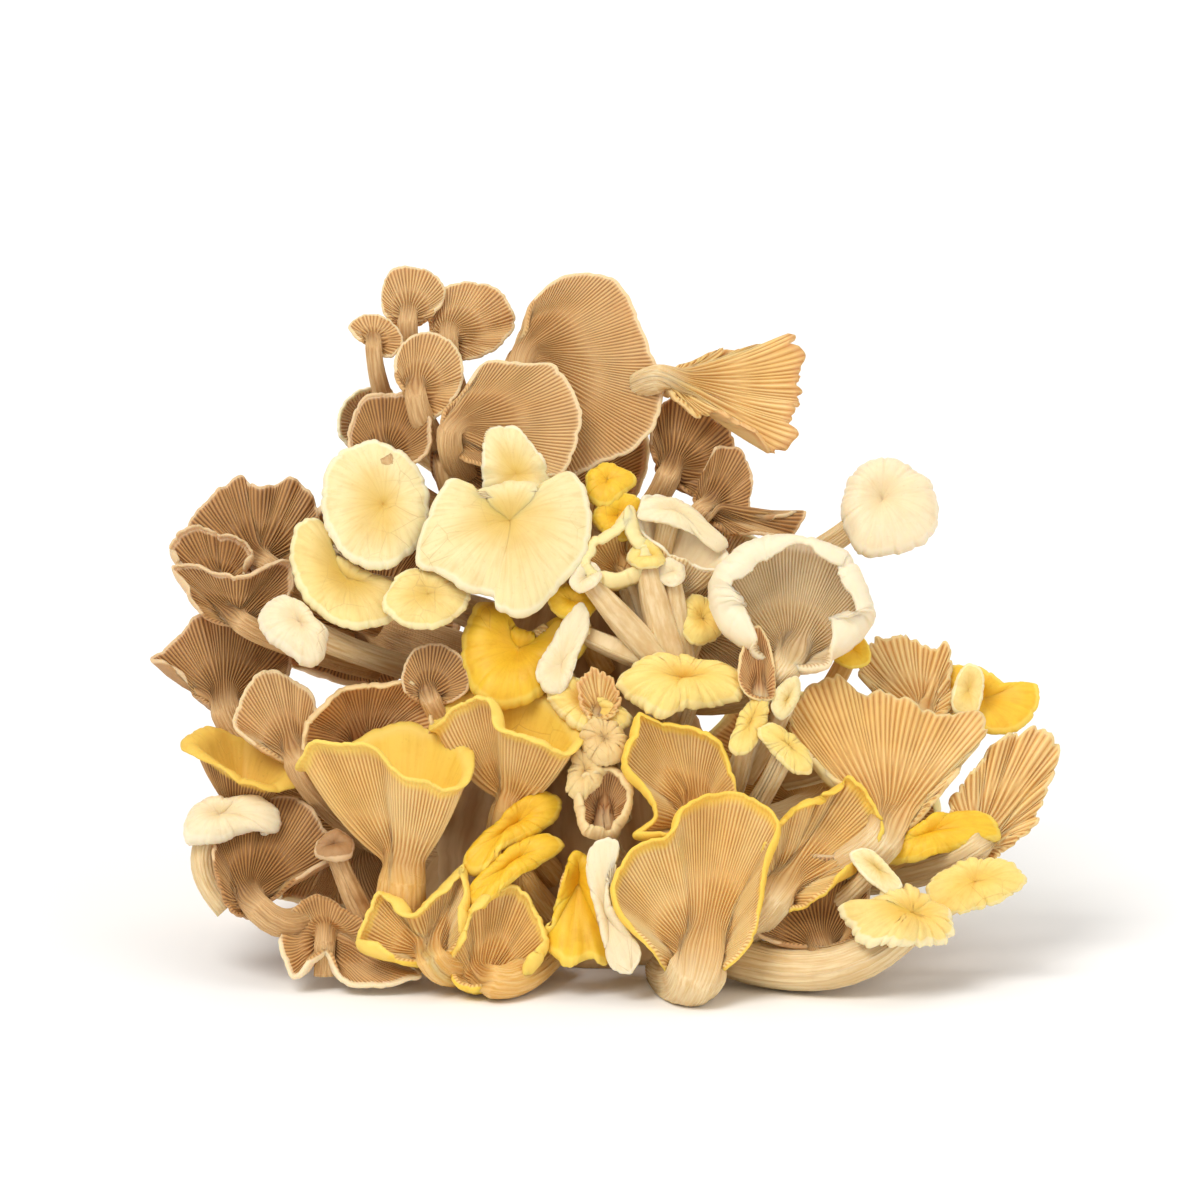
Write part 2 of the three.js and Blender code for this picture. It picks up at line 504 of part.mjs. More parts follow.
    rim: [
      [64, 98, 64], [72, 106, 60], [80, 110, 57], [91, 106, 55], [104, 103, 53], [117, 98, 53],
      [132, 97, 51], [136, 92, 53], [128, 81, 59], [120, 70, 64], [112, 61, 69], [104, 53, 73],
      [97, 48, 75], [91, 60, 72], [83, 72, 70], [74, 81, 69], [66, 89, 67],
    ],
    neck: [100, 56, 76], via: [91, 40, 78], foot: [54, 34, 40], top: [0, 0.5, -1],
    stem: [8, 8], thick: [4.6, 1.6], lip: 1.2, roll: 10, wave: [7, 1.6], belly: 5, look: 'honey',
  },
  {
    name: 'fan_ribbed_back',
    rim: [
      [90, 116, 38], [97, 123, 34], [108, 124, 32], [115, 121, 32], [122, 121, 32], [124, 110, 36],
      [123, 98, 42], [112, 93, 46], [100, 101, 44], [92, 108, 42],
    ],
    neck: [113, 97, 46], via: [104, 83, 49], foot: [66, 74, 18], top: [0, 0.5, -1],
    stem: [5.5, 5], thick: [3.8, 1.6], lip: 1.2, roll: 15, wave: [5, 1.2], belly: 4, look: 'honey',
  },
  {
    name: 'cap_yellow_far_right',
    rim: [
      [122, 104, 36], [124, 114, 32], [133, 113, 30], [142, 108, 32], [154, 107, 32], [153, 97, 38],
      [144, 90, 43], [132, 92, 44], [124, 96, 41],
    ],
    neck: [134, 100, 28], via: [120, 88, 22], foot: [80, 72, 6], top: [0.4, 0.6, 0.7],
    stem: [5, 5], thick: [3.4, 1.6], lip: 1.8, roll: 50, wave: [2, 0.6], belly: 2, look: 'golden',
  },
  {
    name: 'fan_far_right',
    rim: [
      [121, 64, 62], [127, 73, 58], [134, 82, 54], [142, 89, 50], [153, 92, 47], [162, 84, 47],
      [158, 73, 51], [155, 63, 55], [151, 56, 59], [143, 49, 63], [135, 45, 66], [127, 53, 66],
    ],
    neck: [133, 52, 68], via: [119, 39, 71], foot: [74, 36, 30], top: [0.3, 0.5, -1],
    stem: [6, 5.5], thick: [4, 1.5], lip: 1.6, roll: 30, wave: [7, 2], belly: 4, look: 'honey',
  },
  {
    name: 'petal_right',
    rim: [
      [98, 47, 76], [106, 54, 72], [115, 60, 68], [127, 63, 65], [136, 62, 64], [141, 56, 67],
      [131, 52, 72], [120, 49, 75], [108, 46, 78],
    ],
    neck: [113, 53, 66], via: [99, 40, 58], foot: [60, 30, 34], top: [0, 0.9, 0.5],
    stem: [5, 4.5], thick: [4, 2], lip: 2.8, roll: 80, wave: [2, 1], belly: 3, look: 'golden',
  },
  {
    name: 'cap_ruffled_low_right',
    rim: [
      [82, 32, 93], [90, 31, 91], [97, 37, 88], [106, 39, 86], [114, 34, 87], [122, 28, 90],
      [123, 20, 94], [114, 16, 97], [102, 15, 99], [90, 16, 98], [84, 24, 95],
    ],
    neck: [108, 25, 87], via: [84, -2, 96], foot: [44, 12, 70], top: [0.1, 0.9, 0.6],
    stem: [8, 7], thick: [4.4, 2.2], lip: 3, roll: 70, wave: [3, 1.2], belly: 4, look: 'goldivory',
  },
  {
    name: 'back_cap_upper',
    rim: [
      [-62, 190, -6], [-50, 214, -14], [-24, 224, -18], [4, 216, -16], [18, 194, -10], [10, 170, -8],
      [-16, 156, -10], [-46, 162, -8],
    ],
    neck: [-20, 174, -15], via: [-20, 166, 4], foot: [-16, 150, 4], top: [0, 0.6, -1],
    stem: [9, 8], thick: [6, 2.2], lip: 3.5, roll: 75, wave: [4, 2.4], belly: 6, dimple: 2, look: 'tan',
  },
  {
    name: 'back_cap_left',
    rim: [
      [-128, 140, -2], [-116, 164, -10], [-90, 176, -20], [-62, 164, -28], [-50, 138, -34],
      [-62, 114, -36], [-90, 104, -30], [-118, 116, -14],
    ],
    neck: [-82, 128, -27], via: [-70, 122, -4], foot: [-40, 112, 4], top: [-0.4, 0.5, -1],
    stem: [9, 8], thick: [6, 2.2], lip: 3.5, roll: 75, wave: [5, 2.4], belly: 7, dimple: 2, look: 'brown',
  },
  {
    name: 'back_cap_right',
    rim: [
      [-14, 150, -32], [4, 170, -28], [34, 172, -22], [60, 156, -14], [72, 130, -8], [58, 108, -16],
      [30, 98, -32], [0, 112, -40],
    ],
    neck: [28, 128, -31], via: [22, 120, -6], foot: [8, 112, 2], top: [0.3, 0.5, -1],
    stem: [9, 8], thick: [6, 2.2], lip: 3.5, roll: 75, wave: [4, 2.4], belly: 7, dimple: 2, look: 'primrose',
  },
  {
    name: 'back_cap_low_left',
    rim: [
      [-134, 54, 2], [-124, 82, -10], [-98, 98, -28], [-66, 94, -44], [-50, 66, -56], [-62, 38, -60],
      [-92, 24, -44], [-122, 30, -20],
    ],
    neck: [-86, 54, -44], via: [-70, 50, -16], foot: [-42, 46, -4], top: [-0.5, 0.3, -1],
    stem: [10, 9], thick: [6, 2.2], lip: 3.5, roll: 75, wave: [5, 2.6], belly: 8, dimple: 2, look: 'tan',
  },
  {
    name: 'back_cap_low_middle',
    rim: [
      [-56, 92, -48], [-30, 108, -46], [4, 106, -48], [30, 90, -54], [38, 62, -66], [22, 34, -80],
      [-10, 24, -84], [-42, 36, -76], [-58, 62, -62],
    ],
    neck: [-8, 58, -70], via: [-8, 50, -40], foot: [-8, 50, -16], top: [0, 0.4, -1],
    stem: [11, 10], thick: [6.5, 2.4], lip: 3.5, roll: 75, wave: [5, 2.6], belly: 8, dimple: 2, look: 'golden',
  },
  {
    name: 'back_cap_low_right',
    rim: [
      [40, 92, -46], [66, 106, -32], [98, 98, -14], [122, 76, -2], [118, 48, -12], [94, 28, -32],
      [60, 26, -54], [38, 54, -62],
    ],
    neck: [76, 60, -39], via: [60, 50, -14], foot: [30, 46, -4], top: [0.5, 0.35, -1],
    stem: [10, 9], thick: [6, 2.2], lip: 3.5, roll: 75, wave: [5, 2.6], belly: 8, dimple: 2, look: 'honeygold',
  },
];

// ---------- small vector helpers ----------
const add = (a, b, s = 1) => [a[0] + b[0] * s, a[1] + b[1] * s, a[2] + b[2] * s];
const sub = (a, b) => add(a, b, -1);
const dot = (a, b) => a[0] * b[0] + a[1] * b[1] + a[2] * b[2];
const cross = (a, b) => [a[1] * b[2] - a[2] * b[1], a[2] * b[0] - a[0] * b[2], a[0] * b[1] - a[1] * b[0]];
const size = (a) => Math.sqrt(dot(a, a));
const times = (a, s) => [a[0] * s, a[1] * s, a[2] * s];
const unit = (a) => times(a, 1 / Math.max(size(a), 1e-9));
const mix = (a, b, t) => add(times(a, 1 - t), b, t);
const smooth = (x) => x * x * (3 - 2 * x);
const clamped = (x) => Math.min(Math.max(x, 0), 1);
const average = (points) => times(points.reduce((a, b) => add(a, b), [0, 0, 0]), 1 / points.length);

// A direction or a place on the leaning front, turned into the heap's own frame.
function lean(p) {
  const turn = (LEAN_DEGREES * Math.PI) / 180;
  const c = Math.cos(turn);
  const s = Math.sin(turn);
  return [p[0], p[1] * s - p[2] * c, p[1] * c + p[2] * s];
}

function place(p) {
  const q = lean(p);
  return [q[0] * WIDTH_SCALE, q[1] * DEPTH_SCALE, (q[2] - FLOOR_DROP) * HEIGHT_SCALE];
}

// One stretch of a closed curve that passes through its points.
function stretch(p0, p1, p2, p3, t) {
  const d0 = Math.max(Math.sqrt(size(sub(p1, p0))), 1e-4);
  const d1 = Math.max(Math.sqrt(size(sub(p2, p1))), 1e-4);
  const d2 = Math.max(Math.sqrt(size(sub(p3, p2))), 1e-4);
  const out = [];
  for (let k = 0; k < 3; k += 1) {
    const a = ((p1[k] - p0[k]) / d0 - (p2[k] - p0[k]) / (d0 + d1) + (p2[k] - p1[k]) / d1) * d1;
    const b = ((p2[k] - p1[k]) / d1 - (p3[k] - p1[k]) / (d1 + d2) + (p3[k] - p2[k]) / d2) * d1;
    const c = -3 * p1[k] + 3 * p2[k] - 2 * a - b;
    const d = 2 * p1[k] - 2 * p2[k] + a + b;
    out.push(p1[k] + a * t + c * t * t + d * t * t * t);
  }
  return out;
}

// Points equally far apart along the closed rim, from its nearest point to the neck.
function rimPoints(points, count, neck) {
  let fine = [];
  const n = points.length;
  for (let i = 0; i < n; i += 1) {
    const p = [-1, 0, 1, 2].map((k) => points[(i + k + n) % n]);
    for (let j = 0; j < RIM_STEPS; j += 1) fine.push(stretch(...p, j / RIM_STEPS));
  }
  const away = fine.map((p) => size(sub(p, neck)));
  const nearest = away.indexOf(Math.min(...away));
  fine = [...fine.slice(nearest), ...fine.slice(0, nearest)];
  const along = [0];
  for (let i = 0; i < fine.length; i += 1) {
    along.push(along[i] + size(sub(fine[(i + 1) % fine.length], fine[i])));
  }
  const total = along[fine.length];
  const out = [];
  let i = 0;
  for (let k = 0; k < count; k += 1) {
    const s = (k / count) * total;
    while (along[i + 1] < s) i += 1;
    const t = (s - along[i]) / Math.max(along[i + 1] - along[i], 1e-9);
    out.push(mix(fine[i], fine[(i + 1) % fine.length], t));
  }
  return out;
}

// Turns v the way that takes direction a to direction b.
function turned(v, a, b) {
  const k = cross(a, b);
  const kv = cross(k, v);
  return add(add(v, kv), cross(k, kv), 1 / Math.max(1 + dot(a, b), 1e-6));
}

function loopNormal(rim) {
  const mid = average(rim);
  let n = [0, 0, 0];
  rim.forEach((p, i) => {
    n = add(n, cross(sub(p, mid), sub(rim[(i + 1) % rim.length], mid)));
  });
  return unit(n);
}

// Everything the surface formulas need, worked out once for each fruit body.
function setUp(body) {
  let rim = body.rim.map(place);
  if (dot(loopNormal(rim), lean(body.top)) < 0) rim = rim.slice().reverse();
  const neck = place(body.neck);
  const edge = rimPoints(rim, AROUND, neck);
  const far = edge.map((p) => size(sub(p, neck)));
  const most = Math.max(...far);
  const roll = (body.roll * Math.PI) / 180;
  const free = far.map((d) => smooth(clamped((d / most - CURL_FROM) / (CURL_TO - CURL_FROM))));
  const curls = free.map((f) => Math.min(roll * (LEAST_CURL_SHARE + (1 - LEAST_CURL_SHARE) * f), MOST_CURL));
  const lips = far.map((d) => Math.min(body.lip, d * MOST_LIP_SHARE));
  const ends = edge.map((p, j) => {
    const inset = lips[j] * Math.sin(Math.min(curls[j], Math.PI / 2));
    return add(p, unit(sub(p, neck)), -inset);
  });
  return {
    body, neck, ends, free, curls, lips,
    reach: far.map((d) => clamped(d / most / LEVEL_UNTIL)),
    normal: loopNormal(rim),
    foot: place(body.foot),
    via: place(body.via),
    centreThick: body.thick[0] * THICKNESS_SCALE,
    edgeThick: body.thick[1] * THICKNESS_SCALE,
    footRadius: body.stem[0] * STEM_SCALE,
    neckRadius: body.stem[1] * STEM_SCALE,
  };
}

function wave(m, j) {
  const [count, height] = m.body.wave || [0, 0];
  const a = 2 * Math.PI * count * (j / AROUND);
  return height * (Math.sin(a) + 0.5 * Math.sin(2 * Math.PI * (2 * count + 1) * (j / AROUND)));
}

// The middle of the cap's flesh, a share r of the way from the neck to the edge.
function middle(m, j, r) {
  const rise = m.body.belly * 4 * r * (1 - r) + wave(m, j) * r * r * r;
  return add(add(m.neck, sub(m.ends[j], m.neck), r), m.normal, rise * m.reach[j]);
}

function flesh(m, r) {
  return m.edgeThick + (m.centreThick - m.edgeThick) * (1 - r * r);
}

// The top-side normal and the outward direction of the middle surface; beside the stem, where
// the skin folds sharply, the whole cap's normal takes over.
function frameAt(m, j, r) {
  const next = (j + 1) % AROUND;
  const last = (j + AROUND - 1) % AROUND;
  const out = unit(sub(middle(m, j, r + STEP), middle(m, j, r - STEP)));
  const round = sub(middle(m, next, r), middle(m, last, r));
  return { out, up: unit(mix(m.normal, unit(cross(out, round)), m.free[j])) };
}

// A ring on the gill side (side -1) or on the smooth side (side 1).
function sideRing(m, r, side) {
  return m.ends.map((_, j) => add(middle(m, j, r), frameAt(m, j, r).up, (side * flesh(m, r)) / 2));
}

// The curled edge: its outermost line.
function lipRing(m, side) {
  return m.ends.map((_, j) => {
    const { out, up } = frameAt(m, j, 1 - STEP);
    const turn = m.curls[j];
    const forward = add(middle(m, j, 1), out, m.lips[j] * Math.sin(turn));
    const centre = add(forward, up, -m.lips[j] * (1 - Math.cos(turn)));
    const face = add(times(up, Math.cos(turn)), out, Math.sin(turn));
    return add(centre, face, side * m.edgeThick * LIP_HALF_THICKNESS);
  });
}

// The cap: out along the gills, round the curled edge and back over the smooth side.
function capShape(m) {
  const rings = UNDER_RINGS.map((r) => sideRing(m, r, -1));
  rings.push(lipRing(m, -1), lipRing(m, 1));
  TOP_RINGS.forEach((r) => rings.push(sideRing(m, r, 1)));
  return shapeOfRings({
    rings,
    first: add(m.neck, m.normal, -m.centreThick / 2),
    last: add(average(sideRing(m, CENTRE_RING, 1)), m.normal, -(m.body.dimple || 0)),
  });
}

function stemLine(m, v) {
  const a = mix(m.foot, m.via, v);
  return mix(a, mix(m.via, m.neck, v), v);
}

function stemWay(m, v) {
  return unit(sub(stemLine(m, Math.min(v + STEP, 1)), stemLine(m, Math.max(v - STEP, 0))));
}

// The points round the stem, a share v of the way along it.
function stemRing(m, v) {
  const first = stemWay(m, 0);
  const b1 = unit(cross(first, SIDEWAYS));
  const b2 = cross(first, b1);
  const radius = m.footRadius + (m.neckRadius - m.footRadius) * smooth(v);
  const ring = [];
  for (let j = 0; j < STEM_SIDES; j += 1) {
    const a = (2 * Math.PI * j) / STEM_SIDES;
    const spoke = turned(add(times(b1, Math.cos(a)), b2, Math.sin(a)), first, stemWay(m, v));
    ring.push(add(stemLine(m, v), spoke, radius));
  }
  return ring;
}

// The stem: a bent tube that ends in the cap's flesh.
function stemShape(m) {
  const rings = [];
  for (let k = 0; k <= STEM_RINGS; k += 1) rings.push(stemRing(m, k / STEM_RINGS));
  return shapeOfRings({ rings, first: m.foot, last: add(m.neck, stemWay(m, 1), STEM_TIP) });
}

// A closed shape made of rings of points with a single point at each end.
function shapeOfRings({ rings, first, last }) {
  const count = rings[0].length;
  const points = [first];
  rings.forEach((ring) => points.push(...ring));
  points.push(last);
  const faces = [];
  for (let j = 0; j < count; j += 1) {
    const k = (j + 1) % count;
    faces.push([0, 1 + k, 1 + j]);
    const end = 1 + (rings.length - 1) * count;
    faces.push([end + j, end + k, points.length - 1]);
  }
  for (let i = 0; i + 1 < rings.length; i += 1) {
    const a = 1 + i * count;
    for (let j = 0; j < count; j += 1) {
      const k = (j + 1) % count;
      faces.push([a + j, a + k, a + count + k]);
      faces.push([a + j, a + count + k, a + count + j]);
    }
  }
  return { points, faces };
}

function volumeOf({ points, faces }) {
  return faces.reduce((sum, [a, b, c]) => sum + dot(points[a], cross(points[b], points[c])) / 6, 0);
}

function solidOf(shape, wasm) {
  const flip = volumeOf(shape) < 0;
  const mesh = new wasm.Mesh({
    numProp: 3,
    vertProperties: new Float32Array(shape.points.flat()),
    triVerts: new Uint32Array(shape.faces.flatMap((f) => (flip ? [f[0], f[2], f[1]] : f))),
  });
  return new wasm.Manifold(mesh);
}

// ---------- the heap ----------
// One level of the fused base, an uneven ring of stem flesh.
function baseRing(level, i) {
  const radius = BASE_RADIUS + (BASE_TOP_RADIUS - BASE_RADIUS) * level ** BASE_TAPER;
  const ring = [];
  for (let j = 0; j < BASE_SIDES; j += 1) {
    const a = (2 * Math.PI * j) / BASE_SIDES;
    const lump = BASE_LUMPS.reduce((sum, [n, turn, height]) => sum + height * Math.sin(n * a + turn * i), 1);
    ring.push([
      BASE_CENTRE[0] + radius * lump * Math.cos(a) * BASE_WIDENING * WIDTH_SCALE,
      BASE_CENTRE[1] + (level * BASE_LEAN + radius * lump * Math.sin(a)) * DEPTH_SCALE,
      level * BASE_HEIGHT * HEIGHT_SCALE,
    ]);
  }
  return ring;
}

// The fused base: a lumpy column of stem flesh with a flat cut face at the floor.
function baseShape() {
  const rings = BASE_LEVELS.map(baseRing);
  const last = add(average(rings[rings.length - 1]), [0, 0, BASE_TIP]);
  return shapeOfRings({ rings, first: average(rings[0]), last });
}

// The same shape grown all round by the gap, for cutting room in its neighbours.
function grown({ points, faces }, reach) {
  const outward = points.map(() => [0, 0, 0]);
  faces.forEach((f) => {
    const [a, b, c] = f.map((i) => points[i]);
    const n = cross(sub(b, a), sub(c, a));
    f.forEach((i) => {
      outward[i] = add(outward[i], n);
    });
  });
  const way = volumeOf({ points, faces }) < 0 ? -reach : reach;
  return { points: points.map((p, i) => add(p, unit(outward[i]), way)), faces };
}

// One solid of shapes that run into each other.
function joined(shapes, wasm) {
  return shapes.map((s) => solidOf(s, wasm)).reduce((a, b) => a.add(b));
}

function boxesMeet(a, b) {
  return [0, 1, 2].every((k) => a.min[k] < b.max[k] && b.min[k] < a.max[k]);
}

function largestPiece(solid) {
  const pieces = solid.decompose();
  return pieces.reduce((a, b) => (b.volume() > a.volume() ? b : a), pieces[0]);
}

// A big slab under the floor, which trims whatever reaches below it.
function floorSlab(wasm) {
  const corners = [[-1, -1], [1, -1], [1, 1], [-1, 1]];
  const ring = (z) => corners.map(([x, y]) => [x * SLAB_HALF, y * SLAB_HALF, z]);
  const rings = [ring(-SLAB_DEPTH), ring(0)];
  return solidOf(shapeOfRings({ rings, first: [0, 0, -SLAB_DEPTH], last: [0, 0, 0] }), wasm);
}

// The corners next to a corner.
function neighboursOf(faces, corner) {
  return new Set(faces.filter((f) => f.includes(corner)).flat().filter((i) => i !== corner));
}

// Joins the ends of an edge that is too short to matter, where the skin stays whole.
function withoutShortEdge(points, faces) {
  for (const f of faces) {
    for (let k = 0; k < 3; k += 1) {
      const a = f[k];
      const b = f[(k + 1) % 3];
      if (size(sub(points[a], points[b])) < SHORTEST_EDGE) {
        const near = neighboursOf(faces, a);
        const shared = [...neighboursOf(faces, b)].filter((i) => near.has(i));
        if (shared.length === 2) {
          const moved = faces.map((g) => g.map((i) => (i === b ? a : i)));
          return moved.filter((g) => new Set(g).size === 3);
        }
      }
    }
  }
  return null;
}

// Turns the long side of a needle-thin triangle, where the skin stays whole.
function withoutNeedle(points, faces) {
  for (const f of faces) {
    const sides = [0, 1, 2].map((k) => size(sub(points[f[k]], points[f[(k + 1) % 3]])));
    const k = sides.indexOf(Math.max(...sides));
    const [a, b, c] = [f[k], f[(k + 1) % 3], f[(k + 2) % 3]];
    const height = size(cross(sub(points[b], points[a]), sub(points[c], points[a]))) / sides[k];
    if (height < THINNEST_TRIANGLE) {
      const across = faces.find((g) => g !== f && g.includes(a) && g.includes(b));
      const d = across.find((i) => i !== a && i !== b);
      if (!neighboursOf(faces, c).has(d)) {
        return [...faces.filter((g) => g !== f && g !== across), [a, d, c], [d, b, c]];
      }
    }
  }
  return null;
}

// The numbers of a flat list, three by three.
function threes(list) {
  const out = [];
  for (let i = 0; i < list.length; i += 3) out.push([...list.slice(i, i + 3)]);
  return out;
}

// A solid's mesh without slivers, so that it stays closed when its numbers are rounded.
function meshOf(solid, name, colour) {
  const data = solid.getMesh();
  const points = threes(data.vertProperties);
  let faces = threes(data.triVerts);
  for (let turn = 0; turn < MOST_REPAIRS; turn += 1) {
    const better = withoutShortEdge(points, faces) || withoutNeedle(points, faces);
    if (!better) break;
    faces = better;
  }
  const corners = faces.flat().flatMap((i) => points[i]);
  const geometry = new THREE.BufferGeometry();
  geometry.setAttribute('position', new THREE.Float32BufferAttribute(corners, 3));
  const welded = mergeVertices(geometry, 1e-3);
  welded.computeVertexNormals();
  const mesh = new THREE.Mesh(welded, new THREE.MeshStandardMaterial({ color: colour, roughness: 0.6 }));
  mesh.name = name;
  return mesh;
}

const COLOURS = {
  tan: 0xcfae84, brown: 0xa98662, primrose: 0xf0e2a8, yellowish: 0xe8cf6a, straw: 0xe6cf98,
  ivory: 0xf0e8d4, golden: 0xf2c02c, loop: 0xf0dc90, curl: 0xe6c690, honey: 0xe4c48c, honeyrim: 0xe8c878,
  goldrim: 0xd8b060, honeybrown: 0xc8965c, goldhoney: 0xe6b85c, honeygold: 0xe8c468,
  goldivory: 0xf0d890, ivorybrown: 0xe0d0b0, stem: 0xe9dcc0,
};

// Moves the heap so that its box stands centred over the origin with its base at z = 0.
function centred(heap) {
  const box = new THREE.Box3().setFromObject(heap);
  const x = -(box.min.x + box.max.x) / 2;
  const y = -(box.min.y + box.max.y) / 2;
  heap.children.forEach((mesh) => mesh.geometry.translate(x, y, -box.min.z));
  return heap;
}

// The body of the given shapes, cut clear of the floor and of every body made before it.
function cutClear(shapes, done, floor, wasm) {
  let left = joined(shapes, wasm);
  const near = () => done.filter((other) => boxesMeet(left.boundingBox(), other.box));
  near().forEach((other) => {
    left = left.subtract(other.wide);
  });
  left = largestPiece(left.subtract(floor));
  WIDER_CUTS.forEach((wider) => {
    near().forEach((other) => {
      if (left.intersect(other.piece).volume() < MEETING_VOLUME) return;
      left = left.subtract(joined(other.shapes.map((s) => grown(s, wider * GAP)), wasm));
    });
  });
  return largestPiece(largestPiece(left).simplify(SMALLEST_DETAIL));
}

async function build() {
  const wasm = await Module();
  wasm.setup();
  const heap = new THREE.Group();
  heap.name = 'oyster_mushroom_cluster';
  const floor = floorSlab(wasm);
  const done = [];
  const keep = (name, shapes, colour) => {
    const piece = cutClear(shapes, done, floor, wasm);
    heap.add(meshOf(piece, name, colour));
    const wide = joined(shapes.map((s) => grown(s, GAP)), wasm);
    done.push({ shapes, piece, wide, box: wide.boundingBox() });
  };
  FRUIT_BODIES.forEach((body) => {
    const m = setUp(body);
    keep(body.name, [capShape(m), stemShape(m)], COLOURS[body.look]);
  });
  keep('stem_base', [baseShape()], COLOURS.stem);
  return centred(heap);
}

export default await build();
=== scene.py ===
"""Builds the visual model of a heaped cluster of oyster mushrooms.

Every fruit body is a cap with gills and a stem, grown as one closed skin. Each is laid out in
millimetres on the heap's leaning front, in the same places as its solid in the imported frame.
"""

import math
import random

import bmesh
import bpy
import numpy as np
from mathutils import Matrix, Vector


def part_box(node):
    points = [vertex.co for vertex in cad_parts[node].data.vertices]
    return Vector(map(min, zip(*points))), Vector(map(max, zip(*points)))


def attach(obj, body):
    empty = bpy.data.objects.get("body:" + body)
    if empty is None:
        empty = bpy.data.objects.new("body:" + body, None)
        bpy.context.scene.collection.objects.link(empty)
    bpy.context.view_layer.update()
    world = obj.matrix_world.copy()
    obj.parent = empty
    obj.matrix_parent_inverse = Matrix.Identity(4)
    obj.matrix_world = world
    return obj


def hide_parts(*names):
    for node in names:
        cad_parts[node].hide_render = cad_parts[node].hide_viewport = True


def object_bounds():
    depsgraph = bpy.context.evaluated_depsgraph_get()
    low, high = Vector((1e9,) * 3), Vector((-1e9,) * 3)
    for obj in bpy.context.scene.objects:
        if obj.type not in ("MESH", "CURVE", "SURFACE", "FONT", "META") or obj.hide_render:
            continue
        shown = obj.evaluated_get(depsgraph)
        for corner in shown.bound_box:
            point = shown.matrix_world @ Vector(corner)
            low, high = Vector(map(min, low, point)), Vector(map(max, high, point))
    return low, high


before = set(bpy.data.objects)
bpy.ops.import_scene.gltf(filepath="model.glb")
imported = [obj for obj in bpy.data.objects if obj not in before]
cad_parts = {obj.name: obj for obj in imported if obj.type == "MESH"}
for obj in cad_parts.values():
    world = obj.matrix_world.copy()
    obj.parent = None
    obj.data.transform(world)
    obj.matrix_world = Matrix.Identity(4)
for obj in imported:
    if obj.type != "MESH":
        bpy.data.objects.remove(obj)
CAD_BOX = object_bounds()

bl_info = {
    "name": "Oyster mushroom cluster",
    "version": (1, 0, 0),
    "blender": (4, 5, 0),
    "location": "3D View > Sidebar > Mushrooms",
    "description": "Golden, tan and white oyster mushrooms heaped on a fused stem base",
    "category": "Object",
}

MM = 0.001
# The front of the heap leans back, and its lowest rims rest on the floor.
LEAN = math.radians(12)
FLOOR_DROP = 16.0
# Brings the heap's box over the origin, as in the solids.
HEAP_SHIFT = (-1.7025, 6.0762)

# Sizes of the fused base, as in the solids.
BASE_RADIUS = 44.0
BASE_TOP_RADIUS = 9.0
BASE_HEIGHT = 160.0
BASE_CENTRE = (-8.0, 0.0)
BASE_WIDENING = 1.35
BASE_LEAN = 12
BASE_TAPER = 1.3
BASE_COUNT = 240
BASE_ROWS = 60
BASE_STREAKS = 60
# The view: a long lens far off, and the middle of what it sees on the leaning front.
CAMERA_LENS = 250.0
CAMERA_DISTANCE = 3.0
VIEW_CENTRE = (-1.4, 136.8)


def bodies_from(rows):
    """The facts of each body by name, from rows in the order of FIELDS."""
    return [dict(zip(FIELDS, row)) for row in rows]


